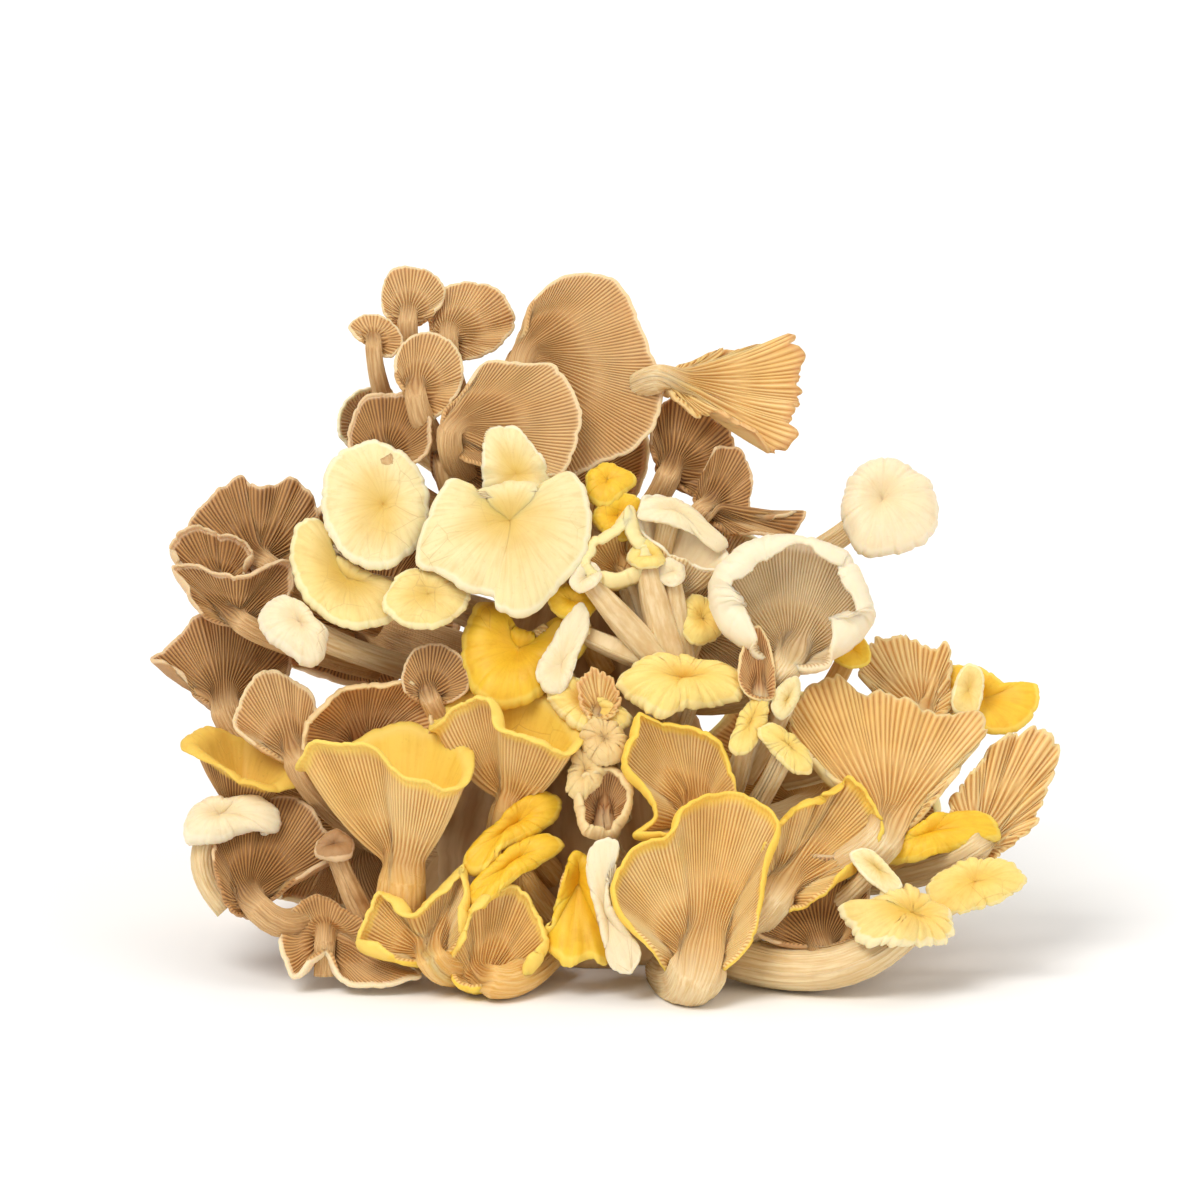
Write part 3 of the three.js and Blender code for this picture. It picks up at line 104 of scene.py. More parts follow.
# Every body's points are [across, up, towards the front] on the leaning front, in millimetres.
# neck: where the gills run together; via: where the stem bends; foot: the stem's end; top: which
# way the smooth side faces; stem: its radius at the foot and the neck; thick: the flesh at the
# middle and the edge; roll: how far the edge curls, in degrees; wave: how many and how high;
# dimple: the depth of the cap's eye; rim: points round the cap's edge.
FIELDS = (
    "name", "look", "neck", "via", "foot", "top", "stem", "thick",
    "lip", "roll", "belly", "wave", "dimple", "rim",
)
FRUIT_BODIES = bodies_from([
    ("fan_top_left", "tan", (-70, 239, 21), (-71, 225, 22), (-63, 206, -2), (0, 0.3, -1), (4, 3.6),
     (3, 1.4), 1.2, 20, 2, (3, 0.6), 0,
     ((-79, 240, 14), (-79, 250, 10), (-76, 255, 8), (-67, 256, 6), (-60, 253, 8), (-57, 246, 11),
      (-62, 238, 16), (-72, 234, 18))),
    ("fan_top_round", "tan", (-56, 233, 20), (-56, 217, 21), (-48, 200, -6), (0, 0.3, -1), (4, 3.6),
     (3, 1.4), 1.2, 20, 3, (4, 0.6), 0,
     ((-61, 232, 15), (-63, 241, 11), (-57, 249, 7), (-46, 251, 5), (-36, 246, 7), (-32, 236, 11),
      (-38, 227, 16), (-50, 223, 19))),
    ("fan_top_small", "tan", (-82, 230, 33), (-82, 214, 32), (-74, 198, 12), (-0.2, 0.3, -1), (3.4, 3),
     (2.6, 1.2), 1, 15, 1.5, (3, 0.5), 0,
     ((-91, 234, 28), (-87, 238, 26), (-80, 238, 26), (-73, 233, 28), (-72, 227, 31), (-77, 223, 33),
      (-85, 228, 33))),
    ("fan_round_left", "tan", (-67, 212, 41), (-67, 201, 44), (-56, 186, 22), (0, 0.3, -1), (5, 4),
     (3, 1.4), 1.2, 15, 3, (4, 0.5), 0,
     ((-73, 214, 38), (-74, 224, 34), (-66, 232, 30), (-56, 230, 30), (-50, 220, 33), (-53, 208, 38),
      (-62, 201, 41))),
    ("fan_arch", "brown", (-78, 188, 47), (-76, 179, 51), (-60, 170, 26), (0, 0.4, -1), (4, 4), (3, 1.6),
     1.8, 55, 3, (3, 0.8), 0,
     ((-91, 190, 43), (-90, 200, 40), (-86, 208, 37), (-78, 210, 36), (-68, 210, 37), (-62, 203, 40),
      (-61, 190, 44), (-68, 185, 47), (-82, 185, 46))),
    ("cap_behind_arch", "primrose", (-81, 199, 2), (-70, 194, -8), (-54, 184, -18), (-0.8, 0.2, 0.6),
     (5, 4), (3, 1.5), 1.4, 40, 2, (0, 0), 0,
     ((-95, 196, 22), (-93, 208, 18), (-85, 213, 13), (-76, 212, 6), (-74, 198, 2), (-84, 189, 14))),
    ("fan_broad", "tan", (-54, 199, 50), (-59, 187, 53), (-40, 172, 8), (0, 0.4, -1), (5, 4.5), (4, 1.6),
     1.6, 30, 4, (2, 0.6), 0,
     ((-57, 203, 42), (-50, 211, 39), (-43, 221, 35), (-38, 222, 34), (-28, 221, 35), (-18, 220, 35),
      (-12, 213, 37), (-8, 202, 41), (-10, 191, 45), (-16, 181, 49), (-28, 182, 49), (-44, 184, 50),
      (-56, 192, 48))),
    ("fan_biggest", "tan", (-30, 225, 32), (-34, 206, 33), (-22, 176, 2), (0, 0.35, -1), (6, 5), (4.5, 1.6),
     1.6, 30, 5, (2, 1), 0,
     ((-28, 233, 25), (-26, 243, 21), (-18, 251, 17), (-6, 254, 14), (5, 251, 16), (11, 240, 19),
      (16, 227, 23), (21, 213, 27), (19, 200, 31), (10, 190, 34), (0, 186, 36), (-13, 181, 38),
      (-22, 190, 35), (-28, 205, 31), (-34, 220, 28))),
    ("fan_brown_middle", "brown", (-57, 188, 38), (-57, 175, 41), (-44, 160, 10), (0, 0.4, -1), (5, 4),
     (3, 1.4), 1.2, 20, 2, (4, 0.7), 0,
     ((-61, 192, 32), (-55, 198, 28), (-45, 197, 28), (-38, 187, 31), (-41, 177, 35), (-52, 175, 37),
      (-60, 181, 36))),
    ("cap_left_pale", "primrose", (-77, 170, 50), (-70, 166, 34), (-48, 158, 12), (-0.15, 0.35, 1), (6, 5),
     (4.5, 1.8), 2.2, 75, 2, (2, 0.6), 2.4,
     ((-100, 172, 54), (-99, 183, 50), (-92, 191, 47), (-82, 194, 46), (-75, 191, 47), (-70, 189, 48),
      (-64, 181, 50), (-61, 170, 54), (-64, 158, 58), (-70, 152, 60), (-78, 148, 62), (-88, 150, 61),
      (-95, 157, 59), (-99, 164, 56))),
    ("cap_big_pale", "primrose", (-33, 166, 57), (-32, 156, 40), (-22, 144, 20), (0.05, 0.35, 1), (8, 7),
     (5, 1.8), 2.2, 70, 3, (3, 0.8), 2,
     ((-66, 150, 66), (-64, 164, 62), (-60, 173, 59), (-54, 180, 57), (-49, 175, 58), (-41, 177, 57),
      (-27, 179, 56), (-18, 178, 56), (-12, 183, 54), (-6, 175, 57), (-4, 163, 61), (-8, 150, 66),
      (-16, 141, 69), (-24, 133, 72), (-32, 131, 73), (-38, 134, 72), (-39, 138, 71), (-48, 140, 71),
      (-58, 146, 68))),
    ("cap_torn_pale", "primrose", (-31, 180, 50), (-28, 168, 45), (-20, 158, 14), (0, 0.3, 1), (5, 4),
     (3.2, 1.6), 1.6, 40, 1, (3, 0.8), 0,
     ((-42, 175, 52), (-43, 189, 49), (-42, 197, 47), (-33, 199, 46), (-27, 194, 47), (-21, 186, 48),
      (-18, 180, 49), (-24, 173, 52), (-34, 171, 54))),
    ("cap_long_yellow", "yellowish", (-90, 143, 48), (-80, 140, 34), (-54, 136, 18), (-0.25, 0.3, 1),
     (6, 5), (4.2, 1.8), 2, 70, 2.5, (2, 0.6), 0,
     ((-111, 157, 50), (-108, 165, 47), (-102, 166, 46), (-97, 157, 49), (-94, 152, 51), (-82, 146, 54),
      (-72, 142, 56), (-69, 136, 59), (-74, 131, 62), (-88, 127, 64), (-101, 133, 61), (-109, 144, 56))),
    ("cap_under_yellow", "yellowish", (-62, 138, 60), (-56, 136, 44), (-40, 130, 24), (-0.05, 0.5, 1),
     (6, 5), (3.6, 1.7), 1.8, 65, 2, (2, 0.6), 0,
     ((-76, 142, 64), (-68, 149, 61), (-57, 146, 61), (-47, 140, 63), (-50, 133, 67), (-61, 127, 70),
      (-72, 129, 69), (-78, 135, 67))),
    ("trumpet_top_right", "straw", (24, 216, 32), (13, 216, 27), (2, 206, 10), (-0.1, 0.5, -1), (5, 5),
     (4, 1.5), 1, 10, 3, (5, 1.8), 0,
     ((17, 219, 26), (30, 222, 20), (43, 226, 16), (56, 229, 14), (68, 231, 12), (72, 224, 16),
      (70, 214, 22), (72, 207, 25), (66, 200, 30), (69, 196, 32), (64, 189, 35), (54, 195, 36),
      (44, 201, 37), (30, 205, 36))),
    ("fan_dark_right", "brown", (24, 184, 32), (20, 172, 34), (8, 160, 6), (0.1, 0.3, -1), (4.5, 4.5),
     (3.2, 1.4), 1.2, 20, 3, (5, 2), 0,
     ((17, 200, 24), (22, 208, 20), (34, 206, 18), (44, 198, 20), (47, 188, 26), (42, 178, 32),
      (32, 175, 34), (22, 180, 32), (17, 190, 28))),
    ("fan_right_small", "brown", (37, 171, 44), (29, 160, 46), (12, 150, 16), (0.2, 0.3, -1), (4, 4),
     (3, 1.4), 1.2, 20, 3, (5, 1.6), 0,
     ((32, 172, 38), (36, 184, 34), (42, 192, 31), (49, 190, 31), (53, 180, 34), (52, 170, 38),
      (58, 165, 40), (72, 168, 40), (66, 160, 42), (50, 160, 45), (38, 164, 45))),
    ("cap_far_right_white", "ivory", (98, 172, 32), (84, 156, 26), (60, 146, 16), (0.1, 0.3, 1), (4, 4),
     (5, 2.4), 2.6, 80, 4, (2, 0.8), 2.4,
     ((84, 172, 40), (87, 182, 36), (95, 188, 33), (107, 187, 32), (116, 180, 34), (120, 170, 38),
      (116, 159, 43), (108, 155, 45), (92, 153, 46), (86, 160, 44))),
    ("cap_curled_white", "ivory", (66, 117, 64), (58, 101, 66), (34, 102, 30), (0.1, 0.2, -1), (6, 6),
     (5, 3), 6, 150, 6, (2, 1), 0,
     ((37, 128, 66), (35, 145, 62), (45, 156, 59), (58, 161, 57), (72, 160, 56), (86, 155, 56),
      (94, 144, 58), (98, 130, 61), (90, 120, 65), (76, 112, 69), (62, 114, 70), (48, 120, 69))),
    ("cap_bright_small", "golden", (1, 178, 45), (0, 165, 32), (-4, 150, 16), (0, 0.3, 1), (5, 4.5),
     (3, 1.6), 2, 60, 2, (2, 0.5), 0,
     ((-7, 178, 50), (-5, 184, 46), (2, 186, 44), (10, 183, 46), (12, 180, 48), (6, 174, 52), (1, 170, 54),
      (-5, 172, 52))),
    ("loop_curl", "loop", (8, 146, 50), (14, 130, 52), (20, 112, 34), (-0.1, 0.2, -1), (5.5, 5), (4, 3), 3,
     110, 4, (2, 0.6), 0,
     ((-11, 150, 62), (-7, 158, 59), (3, 164, 56), (9, 171, 52), (13, 162, 56), (18, 155, 58),
      (17, 147, 61), (9, 143, 64), (-1, 141, 65), (-8, 144, 64))),
    ("trumpet_pale_middle", "ivory", (22, 138, 54), (25, 124, 54), (22, 108, 34), (0, 1, 0.1), (7, 5.5),
     (4, 1.6), 2.6, 60, -5, (4, 1.2), 0,
     ((12, 166, 52), (16, 174, 48), (24, 172, 47), (32, 166, 49), (38, 160, 51), (44, 153, 54),
      (42, 147, 57), (34, 150, 58), (26, 152, 58), (18, 158, 56))),
    ("fan_ruffled_left", "brown", (-123, 151, 30), (-113, 140, 34), (-82, 130, 4), (-0.2, 0.5, -1), (6, 5),
     (3.6, 1.5), 1.6, 20, 4, (6, 2), 0,
     ((-151, 160, 18), (-146, 168, 15), (-138, 176, 12), (-130, 182, 9), (-124, 176, 10), (-112, 181, 8),
      (-105, 174, 9), (-102, 163, 14), (-107, 151, 22), (-120, 146, 28), (-136, 150, 26))),
    ("fan_left_upper", "brown", (-137, 143, 40), (-130, 131, 43), (-92, 122, 12), (-0.2, 0.6, -1), (4, 4),
     (3.2, 1.5), 2.2, 70, 3, (5, 1.2), 0,
     ((-155, 152, 34), (-152, 160, 31), (-144, 163, 30), (-136, 160, 31), (-128, 158, 32), (-124, 152, 34),
      (-128, 144, 38), (-136, 139, 41), (-148, 145, 38))),
    ("fan_left_middle", "brown", (-130, 130, 50), (-118, 121, 52), (-82, 112, 14), (-0.2, 0.6, -1), (4, 4),
     (3.2, 1.5), 2.4, 70, 3, (3, 1), 0,
     ((-154, 148, 38), (-146, 150, 42), (-136, 147, 46), (-128, 146, 47), (-120, 150, 43), (-112, 151, 39),
      (-110, 142, 40), (-114, 132, 44), (-124, 127, 47), (-138, 129, 47), (-146, 134, 44),
      (-150, 141, 41))),
    ("fan_big_left", "brown", (-135, 101, 38), (-133, 82, 41), (-94, 74, 24), (-0.2, 0.4, -1), (5.5, 6),
     (3.8, 1.5), 1.6, 25, 4, (5, 1.6), 0,
     ((-162, 116, 24), (-154, 122, 20), (-147, 129, 16), (-135, 133, 14), (-122, 130, 16), (-113, 121, 22),
      (-112, 110, 28), (-121, 101, 34), (-130, 96, 37), (-138, 97, 36), (-146, 104, 32), (-153, 112, 27))),
    ("cap_curled_left", "ivory", (-107, 128, 57), (-96, 120, 50), (-68, 112, 24), (-0.2, 0.8, 0.7),
     (4.5, 4.5), (3.4, 2), 3, 100, 3, (2, 0.6), 0,
     ((-123, 131, 62), (-118, 139, 58), (-109, 139, 58), (-102, 132, 61), (-97, 125, 64), (-98, 117, 67),
      (-104, 114, 69), (-112, 119, 68), (-119, 124, 66))),
    ("fan_left_low", "tan", (-109, 82, 63), (-106, 70, 67), (-88, 56, 34), (0, 0.4, -1), (5, 4.5),
     (3.4, 1.5), 1.6, 35, 4, (4, 1), 0,
     ((-131, 92, 56), (-128, 103, 52), (-120, 112, 49), (-110, 109, 50), (-102, 101, 53), (-103, 88, 58),
      (-106, 78, 62), (-114, 81, 62), (-124, 86, 59))),
    ("fan_concave", "honeybrown", (-84, 82, 47), (-80, 70, 44), (-60, 56, 24), (0, 0.7, -1), (5, 5),
     (4, 1.8), 2.2, 75, 5, (5, 1.4), 0,
     ((-107, 82, 62), (-106, 94, 60), (-99, 103, 58), (-88, 108, 56), (-78, 109, 56), (-68, 109, 58),
      (-60, 101, 60), (-60, 90, 58), (-70, 80, 50), (-86, 76, 46), (-100, 76, 52))),
    ("fan_yellow_rim_left", "goldrim", (-127, 62, 52), (-124, 50, 52), (-98, 44, 26), (0, 1, 0.15), (5, 5),
     (3.6, 1.8), 3.6, 100, -3, (2, 0.6), 0,
     ((-145, 87, 60), (-137, 80, 64), (-127, 75, 66), (-116, 73, 64), (-110, 78, 58), (-117, 83, 48),
      (-128, 89, 42), (-139, 92, 48))),
    ("cap_curled_low_left", "ivory", (-136, 59, 60), (-148, 44, 62), (-133, 28, 62), (-0.1, 1, 0.6),
     (4.5, 4.5), (3.2, 2), 3, 100, 4, (2, 0.8), 0,
     ((-149, 60, 66), (-142, 69, 61), (-132, 67, 62), (-122, 69, 61), (-114, 64, 64), (-114, 57, 68),
      (-125, 56, 70), (-137, 52, 72), (-147, 53, 70))),
    ("fan_brown_low_left", "brown", (-125, 33, 76), (-108, 10, 80), (-96, 40, 42), (0, 0.4, -1), (4.5, 5),
     (3.2, 1.4), 1.6, 30, 4, (5, 1.4), 0,
     ((-138, 50, 66), (-133, 61, 61), (-121, 67, 57), (-108, 67, 56), (-99, 57, 60), (-92, 48, 64),
      (-104, 41, 69), (-114, 34, 73), (-122, 27, 77), (-131, 28, 76), (-136, 39, 72))),
    ("fan_bottom_left", "ivorybrown", (-98, 22, 76), (-98, 13, 77), (-98, 5, 76), (0, 0.6, -0.8),
     (3.5, 3.5), (4, 2.2), 2, 40, 5, (4, 0.8), 0,
     ((-108, 4, 84), (-114, 16, 78), (-109, 28, 70), (-101, 33, 66), (-92, 29, 68), (-83, 22, 72),
      (-74, 14, 77), (-64, 5, 83), (-78, 1, 86), (-91, 3, 86), (-97, 13, 82), (-102, 10, 84))),
    ("trumpet_front_left", "goldhoney", (-70, 45, 77), (-72, 28, 76), (-72, 8, 64), (0, 1, 0.1), (9.5, 8.5),
     (5, 2), 3.2, 75, -5, (3, 1), 0,
     ((-106, 80, 78), (-101, 87, 84), (-90, 87, 88), (-79, 86, 89), (-72, 79, 91), (-63, 74, 91),
      (-52, 71, 87), (-47, 77, 79), (-50, 88, 68), (-62, 93, 59), (-78, 91, 55), (-92, 86, 59),
      (-102, 81, 67))),
    ("trumpet_middle_left", "goldhoney", (-32, 68, 65), (-35, 53, 64), (-38, 38, 50), (0, 1, 0.1), (7, 6.5),
     (4.5, 2), 3, 80, -5, (3, 1), 0,
     ((-60, 92, 68), (-51, 100, 72), (-43, 104, 75), (-37, 100, 79), (-35, 94, 82), (-28, 91, 84),
      (-20, 87, 85), (-12, 83, 82), (-8, 89, 75), (-13, 98, 68), (-25, 106, 61), (-38, 109, 58),
      (-51, 104, 59), (-59, 97, 62))),
    ("cap_golden_middle", "golden", (-30, 118, 52), (-24, 108, 42), (-12, 94, 24), (0, 0.6, 1), (7, 6),
     (4.2, 1.8), 3, 80, 4, (3, 1), 0,
     ((-51, 116, 62), (-50, 128, 57), (-45, 136, 53), (-38, 137, 52), (-31, 127, 56), (-20, 127, 56),
      (-8, 133, 54), (-4, 124, 58), (-14, 112, 64), (-22, 104, 68), (-36, 99, 70), (-46, 104, 67))),
    ("band_ruffled_middle", "honeygold", (-6, 98, 62), (-4, 86, 50), (2, 70, 28), (0, 0.8, 0.8), (6, 5),
     (3.6, 1.8), 2.4, 60, 3, (3, 0.6), 0,
     ((-20, 106, 70), (-13, 111, 67), (-4, 107, 68), (4, 101, 70), (10, 96, 72), (2, 89, 76), (-8, 92, 76),
      (-16, 98, 73))),
    ("band_golden_upper", "golden", (-31, 56, 68), (-27, 48, 58), (-18, 38, 36), (-0.3, 1, 0.6), (6, 5.5),
     (3.6, 2.4), 2.4, 85, 3, (2, 0.8), 0,
     ((-50, 44, 80), (-47, 51, 78), (-36, 60, 74), (-24, 70, 70), (-15, 68, 70), (-17, 61, 74),
      (-26, 55, 78), (-36, 50, 82), (-43, 42, 84))),
    ("band_golden_lower", "golden", (-31, 43, 76), (-27, 32, 64), (-16, 22, 42), (-0.3, 1, 0.6), (6, 5.5),
     (3.6, 2.4), 2.4, 85, 3, (2, 0.8), 0,
     ((-49, 33, 86), (-44, 41, 84), (-33, 49, 80), (-20, 56, 77), (-14, 52, 79), (-22, 46, 83),
      (-32, 40, 87), (-42, 31, 90))),
    ("fan_golden_low_left", "goldhoney", (-61, 14, 92), (-59, 3, 94), (-34, 10, 46), (-0.1, 0.7, -0.6),
     (6, 5.5), (4, 2.2), 3.4, 90, 5, (3, 1.2), 0,
     ((-87, 14, 86), (-84, 27, 84), (-79, 35, 82), (-72, 33, 83), (-68, 28, 85), (-60, 35, 82),
      (-49, 44, 78), (-46, 36, 82), (-47, 24, 87), (-53, 14, 90), (-62, 10, 92), (-74, 11, 92))),
    ("fan_golden_front", "goldhoney", (-42, 5, 94), (-32, -1, 97), (-18, 14, 62), (-0.2, 0.6, -0.7), (6, 6),
     (4, 2.2), 3.2, 85, 7, (3, 1.2), 0,
     ((-54, 7, 89), (-53, 18, 87), (-48, 29, 85), (-40, 36, 82), (-30, 37, 80), (-23, 29, 82),
      (-18, 17, 86), (-22, 8, 90), (-32, 3, 93), (-44, 1, 94), (-51, 2, 92))),
    ("cap_torn_golden", "golden", (-9, 40, 74), (-4, 26, 62), (2, 14, 40), (-0.2, 0.2, 1), (5, 4.5), (4, 2),
     2.6, 60, 2, (3, 1.6), 0,
     ((-20, 16, 90), (-17, 28, 87), (-14, 40, 84), (-10, 49, 81), (-4, 45, 82), (-1, 32, 86), (1, 20, 89),
      (1, 10, 91), (-6, 12, 92), (-12, 9, 92), (-18, 13, 91))),
    ("trumpet_front", "honeyrim", (34, 13, 102), (31, -2, 105), (24, 4, 60), (-0.1, 0.75, -0.6), (10, 10),
     (5, 2), 2.8, 70, 8, (4, 1.2), 0,
     ((1, 36, 96), (6, 47, 92), (14, 53, 90), (22, 56, 89), (25, 63, 86), (33, 68, 84), (44, 70, 81),
      (55, 66, 82), (62, 58, 85), (58, 45, 91), (55, 28, 98), (49, 15, 102), (39, 7, 104), (25, 7, 104),
      (14, 18, 103), (4, 27, 100))),
    ("fan_golden_rim", "honeyrim", (33, 62, 76), (33, 46, 77), (22, 40, 44), (-0.3, 0.5, -0.9), (6, 6),
     (4.5, 2), 3.2, 80, 6, (3, 1), 0,
     ((8, 53, 86), (16, 61, 85), (12, 70, 83), (4, 79, 81), (7, 88, 78), (11, 98, 75), (20, 95, 74),
      (30, 94, 73), (40, 89, 74), (46, 77, 77), (46, 66, 80), (36, 58, 85), (22, 52, 87))),
    ("fan_ruffled_rim", "honeyrim", (62, 37, 85), (54, 22, 86), (34, 14, 50), (0.3, 0.6, -0.7), (7, 7),
     (4.5, 2), 3.2, 85, 7, (6, 1.8), 0,
     ((57, 54, 83), (62, 62, 79), (70, 67, 76), (77, 70, 74), (87, 74, 71), (94, 68, 72), (99, 56, 76),
      (94, 46, 80), (85, 39, 84), (72, 31, 89), (60, 27, 91), (54, 38, 88))),
    ("curls_pale", "curl", (0, 61, 73), (0, 48, 76), (8, 42, 44), (0.1, 0.3, -1), (4, 4), (3.4, 2.4), 2.6,
     90, 3, (2, 0.6), 0,
     ((-11, 72, 79), (-6, 78, 76), (4, 79, 75), (10, 74, 77), (11, 66, 79), (7, 56, 82), (0, 52, 84),
      (-8, 54, 83), (-11, 62, 81))),
    ("cap_golden_right", "honeygold", (28, 107, 62), (24, 94, 50), (16, 78, 28), (0, 0.9, 0.6), (8, 7),
     (4.6, 2.2), 3, 95, 5, (3, 1), 2,
     ((4, 109, 74), (10, 116, 70), (20, 119, 68), (32, 118, 67), (44, 115, 68), (51, 109, 71),
      (48, 103, 75), (38, 101, 78), (28, 100, 79), (21, 96, 81), (12, 101, 79))),
    ("fan_ribbed_right", "honey", (100, 56, 76), (91, 40, 78), (54, 34, 40), (0, 0.5, -1), (8, 8),
     (4.6, 1.6), 1.2, 10, 5, (7, 1.6), 0,
     ((64, 98, 64), (72, 106, 60), (80, 110, 57), (91, 106, 55), (104, 103, 53), (117, 98, 53),
      (132, 97, 51), (136, 92, 53), (128, 81, 59), (120, 70, 64), (112, 61, 69), (104, 53, 73),
      (97, 48, 75), (91, 60, 72), (83, 72, 70), (74, 81, 69), (66, 89, 67))),
    ("fan_ribbed_back", "honey", (113, 97, 46), (104, 83, 49), (66, 74, 18), (0, 0.5, -1), (5.5, 5),
     (3.8, 1.6), 1.2, 15, 4, (5, 1.2), 0,
     ((90, 116, 38), (97, 123, 34), (108, 124, 32), (115, 121, 32), (122, 121, 32), (124, 110, 36),
      (123, 98, 42), (112, 93, 46), (100, 101, 44), (92, 108, 42))),
    ("cap_yellow_far_right", "golden", (134, 100, 28), (120, 88, 22), (80, 72, 6), (0.4, 0.6, 0.7), (5, 5),
     (3.4, 1.6), 1.8, 50, 2, (2, 0.6), 0,
     ((122, 104, 36), (124, 114, 32), (133, 113, 30), (142, 108, 32), (154, 107, 32), (153, 97, 38),
      (144, 90, 43), (132, 92, 44), (124, 96, 41))),
    ("fan_far_right", "honey", (133, 52, 68), (119, 39, 71), (74, 36, 30), (0.3, 0.5, -1), (6, 5.5),
     (4, 1.5), 1.6, 30, 4, (7, 2), 0,
     ((121, 64, 62), (127, 73, 58), (134, 82, 54), (142, 89, 50), (153, 92, 47), (162, 84, 47),
      (158, 73, 51), (155, 63, 55), (151, 56, 59), (143, 49, 63), (135, 45, 66), (127, 53, 66))),
    ("petal_right", "golden", (113, 53, 66), (99, 40, 58), (60, 30, 34), (0, 0.9, 0.5), (5, 4.5), (4, 2),
     2.8, 80, 3, (2, 1), 0,
     ((98, 47, 76), (106, 54, 72), (115, 60, 68), (127, 63, 65), (136, 62, 64), (141, 56, 67),
      (131, 52, 72), (120, 49, 75), (108, 46, 78))),
    ("cap_ruffled_low_right", "goldivory", (108, 25, 87), (84, -2, 96), (44, 12, 70), (0.1, 0.9, 0.6),
     (8, 7), (4.4, 2.2), 3, 70, 4, (3, 1.2), 0,
     ((82, 32, 93), (90, 31, 91), (97, 37, 88), (106, 39, 86), (114, 34, 87), (122, 28, 90), (123, 20, 94),
      (114, 16, 97), (102, 15, 99), (90, 16, 98), (84, 24, 95))),
    ("back_cap_upper", "tan", (-20, 174, -15), (-20, 166, 4), (-16, 150, 4), (0, 0.6, -1), (9, 8), (6, 2.2),
     3.5, 75, 6, (4, 2.4), 2,
     ((-62, 190, -6), (-50, 214, -14), (-24, 224, -18), (4, 216, -16), (18, 194, -10), (10, 170, -8),
      (-16, 156, -10), (-46, 162, -8))),
    ("back_cap_left", "brown", (-82, 128, -27), (-70, 122, -4), (-40, 112, 4), (-0.4, 0.5, -1), (9, 8),
     (6, 2.2), 3.5, 75, 7, (5, 2.4), 2,
     ((-128, 140, -2), (-116, 164, -10), (-90, 176, -20), (-62, 164, -28), (-50, 138, -34), (-62, 114, -36),
      (-90, 104, -30), (-118, 116, -14))),
    ("back_cap_right", "primrose", (28, 128, -31), (22, 120, -6), (8, 112, 2), (0.3, 0.5, -1), (9, 8),
     (6, 2.2), 3.5, 75, 7, (4, 2.4), 2,
     ((-14, 150, -32), (4, 170, -28), (34, 172, -22), (60, 156, -14), (72, 130, -8), (58, 108, -16),
      (30, 98, -32), (0, 112, -40))),
    ("back_cap_low_left", "tan", (-86, 54, -44), (-70, 50, -16), (-42, 46, -4), (-0.5, 0.3, -1), (10, 9),
     (6, 2.2), 3.5, 75, 8, (5, 2.6), 2,
     ((-134, 54, 2), (-124, 82, -10), (-98, 98, -28), (-66, 94, -44), (-50, 66, -56), (-62, 38, -60),
      (-92, 24, -44), (-122, 30, -20))),
    ("back_cap_low_middle", "golden", (-8, 58, -70), (-8, 50, -40), (-8, 50, -16), (0, 0.4, -1), (11, 10),
     (6.5, 2.4), 3.5, 75, 8, (5, 2.6), 2,
     ((-56, 92, -48), (-30, 108, -46), (4, 106, -48), (30, 90, -54), (38, 62, -66), (22, 34, -80),
      (-10, 24, -84), (-42, 36, -76), (-58, 62, -62))),
    ("back_cap_low_right", "honeygold", (76, 60, -39), (60, 50, -14), (30, 46, -4), (0.5, 0.35, -1),
     (10, 9), (6, 2.2), 3.5, 75, 8, (5, 2.6), 2,
     ((40, 92, -46), (66, 106, -32), (98, 98, -14), (122, 76, -2), (118, 48, -12), (94, 28, -32),
      (60, 26, -54), (38, 54, -62))),
])
